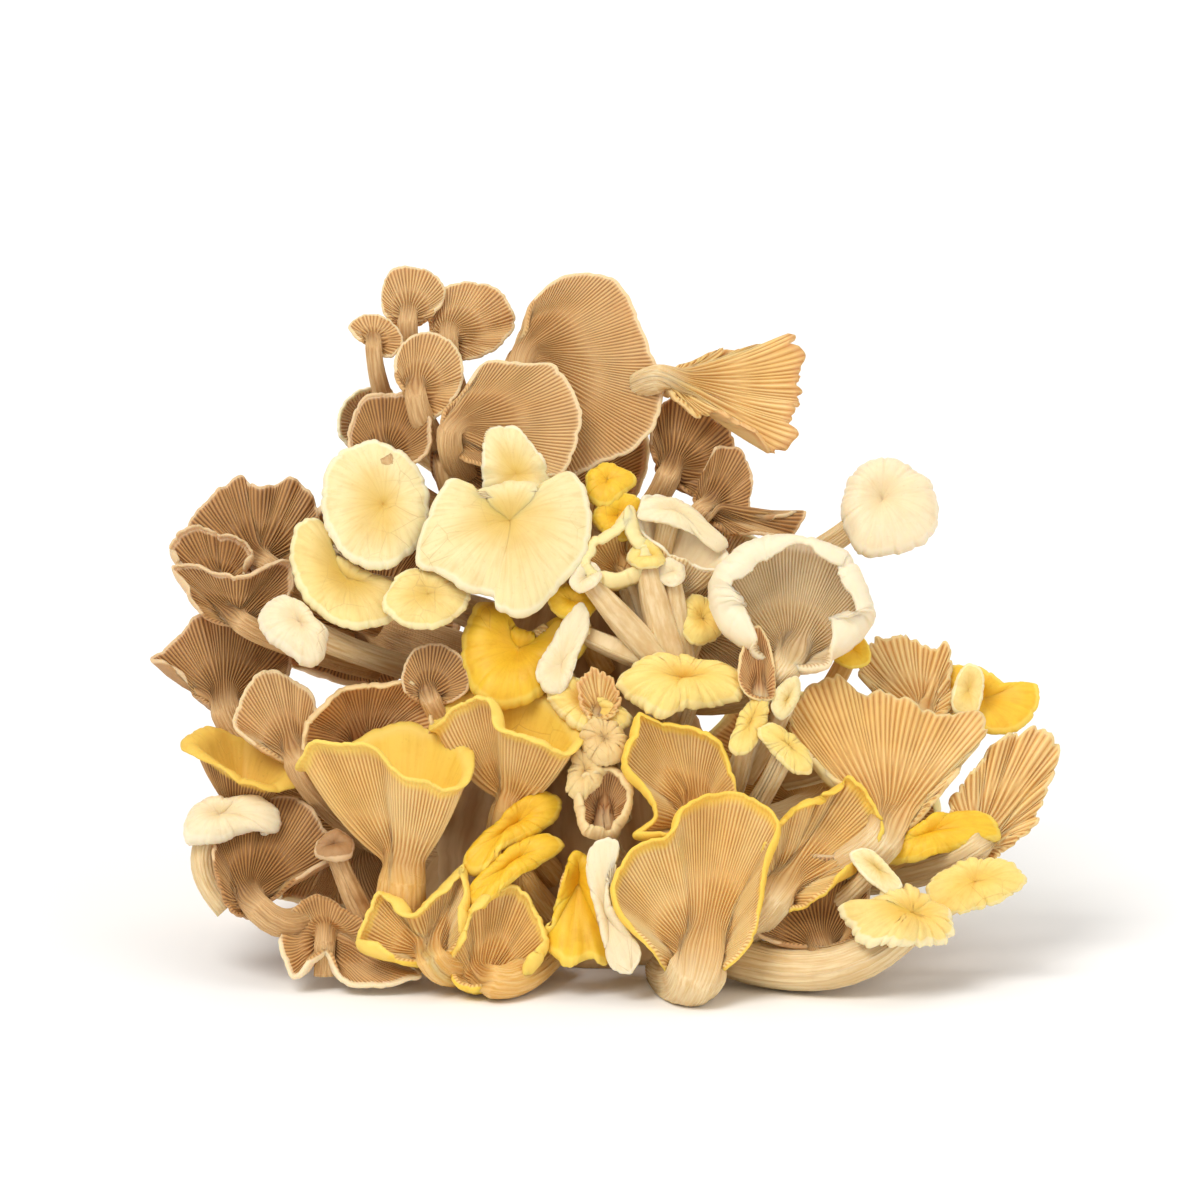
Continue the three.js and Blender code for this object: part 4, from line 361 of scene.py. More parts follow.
# Small bodies in the gaps, which no solid stands for.
SMALL_BODIES = bodies_from([
    ("branch_left", "ivory", (-6, 144, 63), (4, 132, 66), (22, 112, 58), (-0.5, 0.5, 0.6), (5.5, 3.6),
     (2.6, 1.6), 1, 24, 1, (0, 0), 0,
     ((-12, 143, 66), (-9, 149, 65), (-4, 150, 64), (-1, 146, 64), (-3, 141, 66), (-8, 139, 67))),
    ("branch_low", "honey", (-8, 125, 57), (4, 119, 62), (24, 112, 56), (-0.6, 0.4, 0.6), (4.5, 3.4),
     (2.4, 1.4), 1, 24, 1, (0, 0), 0,
     ((-13, 124, 60), (-11, 129, 59), (-6, 129, 58), (-4, 125, 58), (-6, 121, 60), (-10, 120, 61))),
    ("branch_middle", "loop", (15, 151, 57), (17, 138, 62), (24, 114, 56), (0, 0.5, 0.8), (6, 4),
     (2.8, 1.6), 1.6, 36, 2, (0, 0), 0,
     ((8, 152, 60), (13, 158, 58), (20, 156, 57), (22, 150, 58), (17, 146, 60), (11, 147, 61))),
    ("branch_right", "ivory", (24, 146, 58), (26, 134, 60), (28, 112, 52), (0.2, 0.4, 0.9), (4.5, 3),
     (2.4, 1.4), 1.2, 36, 1, (0, 0), 0,
     ((19, 148, 60), (23, 152, 58), (28, 150, 58), (28, 144, 60), (24, 141, 61), (20, 143, 61))),
    ("petal_upper", "golden", (4, 166, 48), (6, 156, 44), (8, 140, 34), (-0.2, 0.3, 1), (4, 3.6),
     (2.6, 1.4), 1.6, 36, 2, (0, 0), 0,
     ((-4, 166, 54), (0, 172, 52), (8, 175, 50), (13, 172, 50), (12, 164, 52), (8, 158, 54), (1, 160, 55))),
    ("white_flap", "ivory", (24, 168, 52), (20, 155, 48), (18, 134, 36), (0, 0.8, 0.7), (4, 4), (2.4, 1.4),
     1.6, 36, 2, (0, 0), 0,
     ((12, 166, 56), (14, 172, 54), (22, 173, 52), (30, 170, 51), (38, 163, 52), (44, 156, 54),
      (40, 154, 56), (32, 160, 56), (22, 164, 57))),
    ("petal_yellow_middle", "honeygold", (34, 130, 54), (30, 120, 52), (26, 104, 44), (0.1, 0.4, 1),
     (4, 3.6), (2.6, 1.6), 1.6, 36, 2, (0, 0), 0,
     ((28, 136, 58), (33, 139, 56), (40, 135, 55), (43, 128, 56), (38, 122, 58), (30, 122, 60),
      (27, 129, 60))),
    ("petal_left_middle", "golden", (-12, 136, 56), (-8, 126, 52), (0, 112, 40), (0, 0.4, 1), (4, 3.6),
     (2.6, 1.6), 1.6, 36, 2, (0, 0), 0,
     ((-20, 140, 60), (-14, 143, 58), (-6, 140, 57), (-3, 134, 58), (-9, 130, 60), (-17, 132, 61))),
    ("white_strip", "ivory", (-15, 112, 64), (-12, 104, 58), (-8, 92, 44), (0.3, 0.3, 1), (4, 3.6),
     (2.2, 1.2), 1.2, 18, 2, (0, 0), 0,
     ((-14, 105, 70), (-9, 118, 67), (-5, 130, 63), (-8, 136, 61), (-14, 130, 62), (-19, 121, 65),
      (-24, 112, 68), (-20, 104, 71))),
    ("shell_middle", "straw", (-1, 97, 72), (0, 86, 68), (4, 70, 50), (0, 0.5, -1), (4, 4), (2.6, 1.4), 1.6,
     30, 3, (0, 0), 0,
     ((-9, 101, 74), (-9, 109, 71), (-3, 113, 69), (4, 108, 70), (6, 100, 73), (1, 95, 76), (-5, 95, 76))),
    ("curl_middle", "honey", (0, 87, 73), (2, 76, 70), (6, 60, 52), (-0.2, 0.3, 1), (4, 4), (3.4, 2.2), 2.6,
     54, 3, (0, 0), 0,
     ((-9, 88, 78), (-7, 95, 76), (1, 96, 75), (8, 92, 76), (9, 85, 78), (4, 80, 80), (-4, 80, 81))),
    ("frill_middle", "honey", (-7, 76, 73), (-4, 66, 70), (2, 54, 50), (-0.4, 0.3, 1), (4, 4), (2.6, 1.6),
     1.8, 36, 3, (0, 0), 0,
     ((-12, 79, 78), (-10, 86, 76), (-3, 84, 76), (1, 77, 78), (-4, 70, 80), (-9, 66, 82), (-13, 70, 81))),
    ("tongue_upper", "honeygold", (51, 93, 73), (50, 82, 68), (44, 64, 50), (0.3, 0.4, 1), (4, 3.6),
     (2.8, 1.8), 1.6, 36, 2, (0, 0), 0,
     ((44, 84, 80), (46, 92, 77), (50, 100, 74), (56, 104, 72), (58, 98, 74), (55, 90, 77), (50, 83, 80))),
    ("tongue_lower", "honeygold", (64, 85, 76), (60, 74, 72), (50, 58, 52), (0.2, 0.6, 1), (4, 3.6), (3, 2),
     1.8, 48, 2, (0, 0), 0,
     ((54, 91, 80), (58, 94, 78), (65, 90, 77), (72, 84, 78), (73, 77, 80), (68, 76, 82), (61, 82, 82))),
    ("petal_brown_right", "curl", (55, 104, 72), (54, 92, 68), (46, 74, 50), (0.5, 0.2, -1), (4, 3.6),
     (2.4, 1.2), 1.4, 24, 2, (0, 0), 0,
     ((50, 104, 76), (47, 112, 73), (50, 123, 69), (54, 128, 67), (58, 122, 68), (60, 110, 71),
      (59, 102, 74))),
    ("petal_pale_right", "primrose", (64, 101, 69), (60, 90, 64), (50, 74, 48), (0, 0.5, 1), (3.6, 3.4),
     (2.4, 1.4), 1.4, 30, 2, (0, 0), 0,
     ((59, 99, 74), (61, 106, 72), (68, 110, 70), (69, 104, 71), (66, 98, 73), (62, 95, 75))),
    ("torn_strip_front", "ivory", (1, 26, 91), (4, 18, 84), (8, 12, 66), (0, 0.2, 1), (4, 4), (2.4, 1.4),
     1.4, 36, 2, (0, 0), 0,
     ((-5, 50, 92), (0, 54, 91), (5, 52, 91), (2, 44, 93), (2, 32, 96), (8, 22, 98), (13, 14, 99),
      (9, 7, 99), (3, 8, 98), (0, 18, 97), (-3, 30, 95), (-6, 42, 93))),
    ("gills_front_right", "brown", (76, 15, 86), (80, 2, 86), (60, 2, 62), (0, 0.4, -1), (5, 5), (3, 1.4),
     1.4, 18, 4, (0, 0), 0,
     ((53, 20, 82), (52, 32, 80), (58, 42, 77), (72, 47, 75), (86, 46, 75), (93, 38, 78), (91, 26, 82),
      (84, 17, 85))),
    ("yellow_right", "golden", (87, 119, 46), (84, 108, 42), (70, 92, 30), (0, 0.5, 1), (3.6, 3.4),
     (2.4, 1.4), 1.2, 36, 1, (0, 0), 0,
     ((80, 118, 50), (81, 124, 48), (87, 126, 47), (93, 122, 48), (94, 115, 50), (87, 113, 52))),
    ("yellow_upright", "yellowish", (129, 104, 40), (124, 92, 36), (104, 76, 26), (0, 0.3, 1), (3.6, 3.4),
     (2.4, 1.6), 1.6, 36, 1, (0, 0), 0,
     ((124, 98, 46), (125, 108, 43), (129, 114, 41), (134, 112, 41), (134, 102, 44), (131, 96, 47))),
    ("flap_low_right", "honeygold", (130, 37, 76), (116, 26, 74), (84, 14, 60), (0, 0.8, 0.7), (5, 4.6),
     (3, 1.8), 2, 42, 3, (0, 0), 0,
     ((114, 28, 84), (113, 37, 81), (121, 44, 79), (133, 47, 77), (145, 44, 78), (148, 38, 80),
      (140, 32, 83), (128, 28, 85))),
    ("pale_band", "primrose", (95, 43, 84), (88, 34, 80), (72, 22, 64), (0.2, 0.5, 1), (3.6, 3.4),
     (2.6, 1.6), 1.4, 36, 1, (0, 0), 0,
     ((86, 48, 86), (92, 50, 85), (99, 44, 87), (104, 37, 89), (100, 34, 91), (94, 38, 90), (89, 43, 88))),
    ("small_brown_cap", "brown", (-62, 104, 62), (-58, 92, 60), (-44, 80, 40), (0, 0.4, -1), (4, 3.6),
     (2.6, 1.2), 1.2, 18, 2, (0, 0), 0,
     ((-70, 104, 62), (-71, 112, 59), (-66, 120, 56), (-57, 121, 56), (-49, 115, 59), (-48, 105, 62),
      (-57, 100, 64))),
    ("pin_left", "brown", (-95, 50, 72), (-92, 40, 74), (-84, 24, 66), (0, 0.9, 0.5), (4, 3.4), (3, 1.8), 2,
     54, 2, (0, 0), 0,
     ((-102, 48, 76), (-100, 54, 74), (-94, 57, 73), (-88, 53, 74), (-88, 47, 76), (-95, 45, 77))),
])


# ---------- looks ----------
GILL_SPACING = 1.5
LEAST_GILLS = 24
SAMPLES_PER_GILL = 3
GILL_DEPTH = 0.75
FIRST_RING = 0.16
STEM_ROWS = 9
FLARE_ROWS = 4
UNDER_ROWS = 14
LIP_ROWS = 4
TOP_ROWS = 9
TOP_INNERMOST = 0.06
EYE_REACH = 0.45
RIM_STEPS = 24
STEP = 0.01
# Beside the stem, nearer than these shares of the cap's reach, the rim stops curling.
CURL_FROM = 0.3
CURL_OVER = 0.3
LEAST_CURL = 0.1
MOST_INSET = 0.3
RAGGED_LENGTH = 120
# From this share of the way out the rim's own colour begins.
EDGE_FROM = 0.85
# Any direction that no cap faces.
SIDEWAYS = (0.3, 0.5, 0.81)


def style(gills, skin_colours, stem, rim, **more):
    """The colours of one kind of fruit body, as display colours; the two valley colours are painted shade
    between the gills, and the same colours also mark cracks, flecks and stem mottling.
    """
    keys = ("valley_shade_and_marks", "valley_shade2_and_mottle", "ridge", "ridge2")
    made = dict(zip(keys, gills))
    made.update(zip(("top", "top_edge", "spot"), skin_colours))
    made.update(zip(("stem", "stem2"), stem))
    made["rim"] = rim
    made.update(more)
    return made


# Each gills tuple holds two valley colours, painted shade between the gills (also used for cracks, flecks and
# stem mottling), then two ridge colours, the gills' own colour.
TAN_GILLS = ((146, 96, 46), (170, 118, 64), (222, 176, 116), (234, 194, 136))
BROWN_GILLS = ((100, 60, 26), (126, 82, 42), (192, 142, 84), (212, 164, 106))
HONEY_GILLS = ((178, 116, 42), (200, 142, 64), (240, 198, 124), (246, 214, 150))
CREAM_GILLS = ((176, 136, 84), (200, 164, 112), (234, 208, 162), (242, 222, 182))
RUST_GILLS = ((136, 76, 26), (164, 102, 46), (214, 164, 104), (228, 184, 128))
CREAM_STEM = ((236, 214, 170), (214, 180, 126))
TAN_STEM = ((222, 186, 134), (188, 144, 92))
GOLD_STEM = ((236, 198, 132), (218, 166, 84))
STYLES = {
    "tan": style(TAN_GILLS, ((194, 148, 92), (212, 172, 118), (166, 120, 70)), TAN_STEM, (240, 212, 168)),
    "brown": style(BROWN_GILLS, ((160, 116, 72), (186, 144, 98), (128, 88, 52)), TAN_STEM, (228, 196, 154)),
    "primrose": style(CREAM_GILLS, ((222, 184, 86), (240, 222, 168), (198, 150, 62)), CREAM_STEM,
                      (246, 232, 196), blotch=0.2, rough=0.4, eye=0.75),
    "yellowish": style(CREAM_GILLS, ((222, 182, 80), (240, 214, 140), (198, 150, 60)), CREAM_STEM,
                       (246, 230, 180), blotch=0.2, rough=0.4, eye=0.3),
    "straw": style(HONEY_GILLS, ((226, 188, 118), (232, 196, 136), (196, 142, 76)), CREAM_STEM,
                   (222, 166, 110), ragged=1.8, rim_from=0.93, rim_share=0.5, spacing=2.2),
    "ivory": style(CREAM_GILLS, ((236, 214, 168), (242, 224, 188), (214, 180, 130)), CREAM_STEM,
                   (244, 228, 198), rough=0.42, cracks=0.5, eye=0.2),
    "golden": style(HONEY_GILLS, ((236, 180, 26), (240, 194, 52), (204, 138, 10)), GOLD_STEM,
                    (244, 208, 92), rough=0.4, blotch=0.45),
    "loop": style(HONEY_GILLS, ((240, 200, 92), (244, 220, 140), (222, 172, 60)), CREAM_STEM,
                  (242, 222, 164)),
    "curl": style(RUST_GILLS, ((232, 194, 130), (238, 210, 154), (206, 152, 90)), CREAM_STEM,
                  (238, 206, 152)),
    "honey": style(HONEY_GILLS, ((224, 184, 116), (234, 204, 144), (196, 144, 76)), CREAM_STEM,
                   (236, 206, 150), ragged=1.4, spacing=2.3),
    "honeyrim": style(HONEY_GILLS, ((238, 190, 60), (244, 206, 92), (214, 158, 36)), CREAM_STEM,
                      (242, 200, 82), rim_from=0.955),
    "goldrim": style(BROWN_GILLS, ((224, 178, 60), (234, 194, 88), (196, 144, 40)), TAN_STEM,
                     (232, 190, 84), rim_from=0.94),
    "honeybrown": style(RUST_GILLS, ((192, 144, 86), (214, 172, 114), (160, 108, 56)), TAN_STEM,
                        (240, 208, 156)),
    # The goldhoney gills get stronger painted shade towards the neck.
    "goldhoney": style(HONEY_GILLS, ((240, 190, 44), (244, 206, 84), (216, 154, 24)), GOLD_STEM,
                       (244, 208, 104), rim_from=0.955, warm=0.5),
    "honeygold": style(HONEY_GILLS, ((236, 192, 84), (244, 216, 130), (212, 156, 48)), CREAM_STEM,
                       (246, 222, 156), ragged=0.8),
    "goldivory": style(CREAM_GILLS, ((232, 182, 62), (244, 218, 140), (206, 148, 38)), CREAM_STEM,
                       (246, 230, 186), ragged=1.0),
    "ivorybrown": style(TAN_GILLS, ((232, 206, 162), (238, 216, 178), (196, 156, 106)), TAN_STEM,
                        (240, 220, 182)),
    "stem": style(CREAM_GILLS, ((206, 168, 116), (222, 188, 138), (174, 130, 82)), TAN_STEM, (226, 196, 148)),
}


# ---------- curves and directions ----------
def unit(v):
    """The vectors of v at length 1."""
    return v / np.maximum(np.linalg.norm(v, axis=-1, keepdims=True), 1e-9)


def smooth(x):
    """Eases 0..1 in and out."""
    t = np.clip(x, 0.0, 1.0)
    return t * t * (3 - 2 * t)


def lean(p):
    """A direction on the leaning front, in the heap's own frame."""
    x, up, out = p
    c, s = math.cos(LEAN), math.sin(LEAN)
    return np.array([x, up * s - out * c, up * c + out * s])


def place(p):
    """A place on the leaning front, in the heap's own frame, in millimetres."""
    return lean(p) + np.array([HEAP_SHIFT[0], HEAP_SHIFT[1], -FLOOR_DROP])


def stretch(p, t):
    """One stretch of a closed curve through p[1] and p[2]."""
    gaps = [max(math.sqrt(np.linalg.norm(p[k + 1] - p[k])), 1e-4) for k in range(3)]
    a, b, c = gaps
    start = ((p[1] - p[0]) / a - (p[2] - p[0]) / (a + b) + (p[2] - p[1]) / b) * b
    end = ((p[2] - p[1]) / b - (p[3] - p[1]) / (b + c) + (p[3] - p[2]) / c) * b
    square = -3 * p[1] + 3 * p[2] - 2 * start - end
    cube = 2 * p[1] - 2 * p[2] + start + end
    return p[1] + start * t + square * t**2 + cube * t**3


def rim_points(rim, count):
    """Points equally far apart along the closed rim, and the rim's length."""
    n = len(rim)
    t = np.arange(RIM_STEPS)[:, None] / RIM_STEPS
    fine = [stretch([rim[(i + k) % n] for k in (-1, 0, 1, 2)], t) for i in range(n)]
    fine = np.concatenate(fine)
    fine = np.vstack([fine, fine[:1]])
    along = np.concatenate([[0], np.cumsum(np.linalg.norm(np.diff(fine, axis=0), axis=1))])
    s = np.arange(count) / count * along[-1]
    return np.stack([np.interp(s, along, fine[:, k]) for k in range(3)], 1), along[-1]


def loop_normal(rim):
    """The direction that a loop of points turns about."""
    middle = rim.mean(0)
    return unit(np.cross(rim - middle, np.roll(rim, -1, 0) - middle).sum(0))


def turn_between(a, b):
    """The 3x3 turn that takes direction a to direction b."""
    k = np.cross(a, b)
    c = float(a @ b)
    if c < -0.999:
        return -np.eye(3)
    m = np.array([[0, -k[2], k[1]], [k[2], 0, -k[0]], [-k[1], k[0], 0]])
    return np.eye(3) + m + m @ m / (1 + c)


def ripple(u, rng, counts, heights):
    """Waves round the rim, with seeded phases, that close on themselves."""
    total = np.zeros_like(u)
    for count, height in zip(counts, heights):
        total += height * np.sin(2 * np.pi * (count * u + rng.random()))
    return total


# ---------- one fruit body ----------
class FruitBody:
    """The surface of one cap with its gills, curled edge and stem."""

    def __init__(self, facts):
        self.facts = facts
        style = STYLES[facts["look"]]
        rim = np.array([place(p) for p in facts["rim"]])
        if loop_normal(rim) @ lean(facts["top"]) < 0:
            rim = rim[::-1]
        self.rng = random.Random(facts["name"])
        length = rim_points(rim, 48)[1]
        self.gills = max(int(round(length / style.get("spacing", GILL_SPACING))), LEAST_GILLS)
        self.count = self.gills * SAMPLES_PER_GILL
        edge, _ = rim_points(rim, self.count)
        self.u = np.arange(self.count) / self.count
        self.normal = loop_normal(rim)
        self.neck, self.foot, self.via = (place(facts[k]) for k in ("neck", "foot", "via"))
        self.lip = facts["lip"]
        far = np.linalg.norm(edge - self.neck, axis=1)
        self.free = smooth((far / far.max() - CURL_FROM) / CURL_OVER)
        uneven = 1 + ripple(self.u, self.rng, (2, 5, 9), (0.16, 0.12, 0.07))
        self.curl = math.radians(facts["roll"]) * uneven * (LEAST_CURL + (1 - LEAST_CURL) * self.free)
        self.inset(edge, style.get("ragged", 0.4) * min(length / RAGGED_LENGTH, 1.0))
        self.waves = self.rim_waves()
        self.centre_thick, self.edge_thick = facts["thick"]
        self.foot_radius, self.neck_radius = facts["stem"]
        self.way = self.stem_way(1.0)

    def inset(self, edge, ragged):
        """Draws the ends of the gills in from the rim by the curl, and makes them uneven."""
        out = edge - self.neck
        far = np.linalg.norm(out, axis=1)
        inset = self.lip * np.sin(np.minimum(self.curl, np.pi / 2))
        uneven = ragged * (
            ripple(self.u, self.rng, (7, 13, 23), (0.5, 0.4, 0.3))
            + np.maximum(ripple(self.u, self.rng, (17, 31, 41), (0.5, 0.5, 0.4)), 0)
        )
        uneven -= uneven.min() * 0.5
        shorter = np.minimum(inset + uneven, far * MOST_INSET)
        self.ends = edge - unit(out) * shorter[:, None]

    def rim_waves(self):
        """How far the edge waves up and down."""
        count, height = self.facts["wave"]
        main = np.sin(2 * np.pi * count * self.u) + 0.5 * np.sin(2 * np.pi * (2 * count + 1) * self.u)
        fine = ripple(self.u, self.rng, (count + 3, 2 * count + 5, 4 * count + 3), (0.35, 0.25, 0.12))
        return height * (main + fine)

    def middle(self, r):
        """The middle of the cap's flesh, a share r of the way from the neck to the edge."""
        rise = self.facts["belly"] * 4 * r * (1 - r) + self.waves * r**3
        p = self.neck + (self.ends - self.neck) * r + self.normal * rise[:, None]
        return self.over_stem(p)

    def over_stem(self, p):
        """Where the cap runs back beside its stem, it rides over the stem's top side."""
        d = p - self.neck
        along = d @ self.way
        side = np.linalg.norm(d - along[:, None] * self.way, axis=1) / (2.4 * self.neck_radius)
        near = np.clip(1 - side * side, 0, 1) ** 2 * smooth(-along / self.neck_radius)
        upward = self.normal - self.way * (self.normal @ self.way)
        return p + (near * (self.neck_radius * 1.2 + self.centre_thick * 0.5))[:, None] * upward

    def frame_at(self, r):
        """The outward and the top-side directions of the middle surface."""
        out = unit(self.middle(r + STEP) - self.middle(r - STEP))
        here = self.middle(r)
        step = max(self.count // 60, 1)
        along = np.roll(here, -step, 0) - np.roll(here, step, 0)
        return out, unit(np.cross(out, along))

    def flesh(self, r):
        """The flesh's thickness."""
        return self.edge_thick + (self.centre_thick - self.edge_thick) * (1 - r * r)

    def stem_line(self, v):
        """The middle of the stem, from the foot at 0 to the neck at 1."""
        return self.foot * (1 - v) ** 2 + self.via * 2 * v * (1 - v) + self.neck * v * v

    def stem_way(self, v):
        """The stem's direction."""
        return unit(self.stem_line(min(v + STEP, 1)) - self.stem_line(max(v - STEP, 0)))

    def clear_of_stem(self, p, r):
        """Keeps the gill side clear of the stem where the two run together."""
        d = p - self.neck
        along = d @ self.way
        side = d - along[:, None] * self.way
        far = np.linalg.norm(side, axis=1)
        least = self.neck_radius * (1 - r)
        kept = (far**4 + least**4) ** 0.25
        return self.neck + along[:, None] * self.way + side / np.maximum(far, 1e-6)[:, None] * kept[:, None]

    def gill_height(self, r):
        """How far each gill stands out, -0.5 in a valley to 0.5 on a ridge; short gills join outwards."""
        phase = self.u * self.gills + 0.18 * ripple(self.u, random.Random(7), (3, 8), (1.0, 0.6)) * r
        full = np.abs((phase / 2) % 1 - 0.5) * 4 - 1
        short = np.abs(phase % 1 - 0.5) * 4 - 1
        share = smooth((r - 0.45) / 0.25)
        return 0.5 * (full * (1 - share) + short * share)

    def under_ring(self, r):
        """The gill side."""
        up = self.frame_at(r)[1]
        depth = GILL_DEPTH * smooth((r - 0.02) / 0.3) * (1 - smooth((r - 0.93) / 0.07) * 0.8)
        relief = self.gill_height(r) * depth
        return self.clear_of_stem(self.middle(r) - up * (self.flesh(r) / 2 + relief)[:, None], r)

    def top_ring(self, r):
        """The smooth side."""
        up = self.frame_at(max(r, 0.05))[1]
        bumps = ripple(self.u, random.Random(int(r * 40)), (3, 7, 12), (0.12, 0.08, 0.05)) * r
        return self.middle(r) + up * (self.flesh(r) / 2 + bumps)[:, None]

    def lip_ring(self, share, side):
        """The curled edge, a share of the way round its curl."""
        out, up = self.frame_at(1 - STEP)
        bend = (self.curl * share)[:, None]
        centre = self.middle(1.0) + self.lip * (out * np.sin(bend) - up * (1 - np.cos(bend)))
        face = up * np.cos(bend) + out * np.sin(bend)
        thick = self.edge_thick * (1 - 0.3 * share) / 2
        return centre + face * thick * side

    def tip_ring(self):
        """The very edge, rounded off past the curl."""
        out, up = self.frame_at(1 - STEP)
        bend = self.curl[:, None]
        ahead = out * np.cos(bend) - up * np.sin(bend)
        return (self.lip_ring(1.0, 1) + self.lip_ring(1.0, -1)) / 2 + ahead * self.edge_thick * 0.3

    def stem_directions(self):
        """Directions round the stem, in step with the places round the cap."""
        b1 = unit(np.cross(self.normal, SIDEWAYS))
        b2 = np.cross(self.normal, b1)
        d = self.under_ring(FIRST_RING) - self.neck
        angles = np.unwrap(np.arctan2(d @ b2, d @ b1))
        start = angles.mean() - math.pi * (self.count - 1) / self.count
        even = start + 2 * math.pi * self.u
        t = 0.6 * angles + 0.4 * even
        flat = np.cos(t)[:, None] * b1 + np.sin(t)[:, None] * b2
        return flat @ turn_between(self.normal, self.way).T

    def stem_rings(self):
        """The stem, and the flare where the gills run down on to it."""
        around = self.stem_directions()
        length = np.linalg.norm(self.neck - self.foot)
        first = self.under_ring(FIRST_RING)
        back = float(-((first - self.neck) @ self.way).min())
        last = 1 - min(max(self.neck_radius, back + self.neck_radius * 0.5), length * 0.6) / length
        rings = []
        lumps = ripple(self.u, self.rng, (2, 3, 5), (0.05, 0.04, 0.03))
        for k in range(STEM_ROWS + 1):
            v = last * k / STEM_ROWS
            here = self.stem_way(v)
            radius = self.foot_radius + (self.neck_radius - self.foot_radius) * smooth(v)
            radius = radius * (1 + lumps * (1 - v * 0.5) + 0.03 * math.sin(9 * v + self.count))
            ring = around @ turn_between(self.way, here).T
            fibres = 0.1 * np.sin(2 * np.pi * self.u * (self.gills // 3))
            rings.append((self.stem_line(v) + ring * (radius + fibres)[:, None], 0.0, v - 1))
        base = rings[-1][0]
        leave = np.tile(self.stem_way(last), (self.count, 1))
        arrive = unit(self.under_ring(FIRST_RING + 0.03) - first)
        span = np.linalg.norm(first - base, axis=1, keepdims=True)
        for k in range(1, FLARE_ROWS + 1):
            t = k / (FLARE_ROWS + 1)
            p = (2 * t**3 - 3 * t**2 + 1) * base + (t**3 - 2 * t**2 + t) * leave * span
            p = p + (3 * t**2 - 2 * t**3) * first + (t**3 - t**2) * arrive * span
            rings.append((p, 0.0, FIRST_RING * t * 0.9))
        return rings

    def edge_share(self, share):
        """The share of the way out; beside the stem the edge keeps the colour of the gills."""
        return share if share < EDGE_FROM else EDGE_FROM + (share - EDGE_FROM) * self.free

    def rings(self):
        """Every ring of the skin, with its side (0 gills, 1 top) and its share of the way out."""
        rings = self.stem_rings()
        for k in range(UNDER_ROWS + 1):
            r = FIRST_RING + (1 - FIRST_RING) * k / UNDER_ROWS
            rings.append((self.under_ring(r), 0.0, self.edge_share(r)))
        for k in range(1, LIP_ROWS + 1):
            rings.append((self.lip_ring(k / LIP_ROWS, -1), 0.3, self.edge_share(1 + 0.2 * k / LIP_ROWS)))
        rings.append((self.tip_ring(), 0.5, self.edge_share(1.25)))
        for k in range(LIP_ROWS, 0, -1):
            rings.append((self.lip_ring(k / LIP_ROWS, 1), 1.0, self.edge_share(1 + 0.2 * k / LIP_ROWS)))
        pole = self.top_ring(0.3).mean(0) - self.normal * self.facts["dimple"]
        for k in range(TOP_ROWS + 1):
            r = 1 - (1 - TOP_INNERMOST) * k / TOP_ROWS
            ring = self.top_ring(r)
            if r < EYE_REACH:
                ring = pole + (ring - pole) * smooth(r / EYE_REACH)
            rings.append((ring, 1.0, r))
        return rings, self.foot, pole


# ---------- meshes ----------
def skin(name, rings, first, last, gills):
    """A closed skin through rings of points, with a pole at each end."""
    count = len(rings[0][0])
    rows = [np.tile(first, (count, 1))] + [r[0] for r in rings] + [np.tile(last, (count, 1))]
    sides = np.array([rings[0][1]] + [r[1] for r in rings] + [rings[-1][1]])
    ends = [rings[0]] + rings + [(None, None, 0.0)]
    shares = np.array([np.broadcast_to(r[2], count) for r in ends], float)
    tall = len(rows) - 1
    bm = bmesh.new()
    bmesh.ops.create_grid(bm, x_segments=count, y_segments=tall, size=0.5)
    mesh = bpy.data.meshes.new(name)
    bm.to_mesh(mesh)
    flat = np.empty(len(mesh.vertices) * 3)
    mesh.vertices.foreach_get("co", flat)
    flat = flat.reshape(-1, 3)
    across = np.rint((flat[:, 0] + 0.5) * count).astype(int)
    along = np.rint((flat[:, 1] + 0.5) * tall).astype(int)
    places = np.array(rows)[along, across % count] * MM
    mesh.vertices.foreach_set("co", places.ravel())
    for label, values in (("side", sides[along]), ("share", shares[along, across % count])):
        layer = mesh.attributes.new(label, "FLOAT", "POINT")
        layer.data.foreach_set("value", values.astype(float))
    corners = np.empty(len(mesh.loops), dtype=int)
    mesh.loops.foreach_get("vertex_index", corners)
    uv = np.stack([across[corners] / count * gills, shares[along[corners], across[corners] % count]], 1)
    mesh.uv_layers.new(name="gills").data.foreach_set("uv", uv.ravel())
    return closed(mesh, bm)


def closed(mesh, bm):
    """Welds the seam and the poles, and turns every face outwards."""
    bm.clear()
    bm.from_mesh(mesh)
    bmesh.ops.remove_doubles(bm, verts=bm.verts, dist=2e-6)
    bmesh.ops.recalc_face_normals(bm, faces=bm.faces)
    bm.to_mesh(mesh)
    bm.free()
    mesh.polygons.foreach_set("use_smooth", [True] * len(mesh.polygons))
    mesh.update()
    return mesh


def add_piece(name, mesh, node, material):
    """Puts a finished mesh in the scene, in place of its solid if it has one."""
    piece = bpy.data.objects.new(name, mesh)
    bpy.context.scene.collection.objects.link(piece)
    mesh.materials.append(material)
    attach(piece, "root")
    if node:
        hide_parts(node)
    return piece


def add_fruit_body(facts, node):
    """Makes one fruit body, in place of its solid if it has one."""
    body = FruitBody(facts)
    rings, foot, pole = body.rings()
    rings = [(above_floor(p), side, share) for p, side, share in rings]
    mesh = skin(facts["name"], rings, above_floor(foot), above_floor(pole), body.gills)
    return add_piece(facts["name"] + "_skin", mesh, node, flesh(facts["look"]))


def above_floor(p):
    """What would reach under the floor is pressed flat on to it."""
    low = np.array(p, float)
    z = low[..., 2]
    pressed = 0.15 + 0.85 * np.exp(np.minimum(z - 1.0, 0.0))
    low[..., 2] = np.where(z < 1.0, pressed, z)
    return low


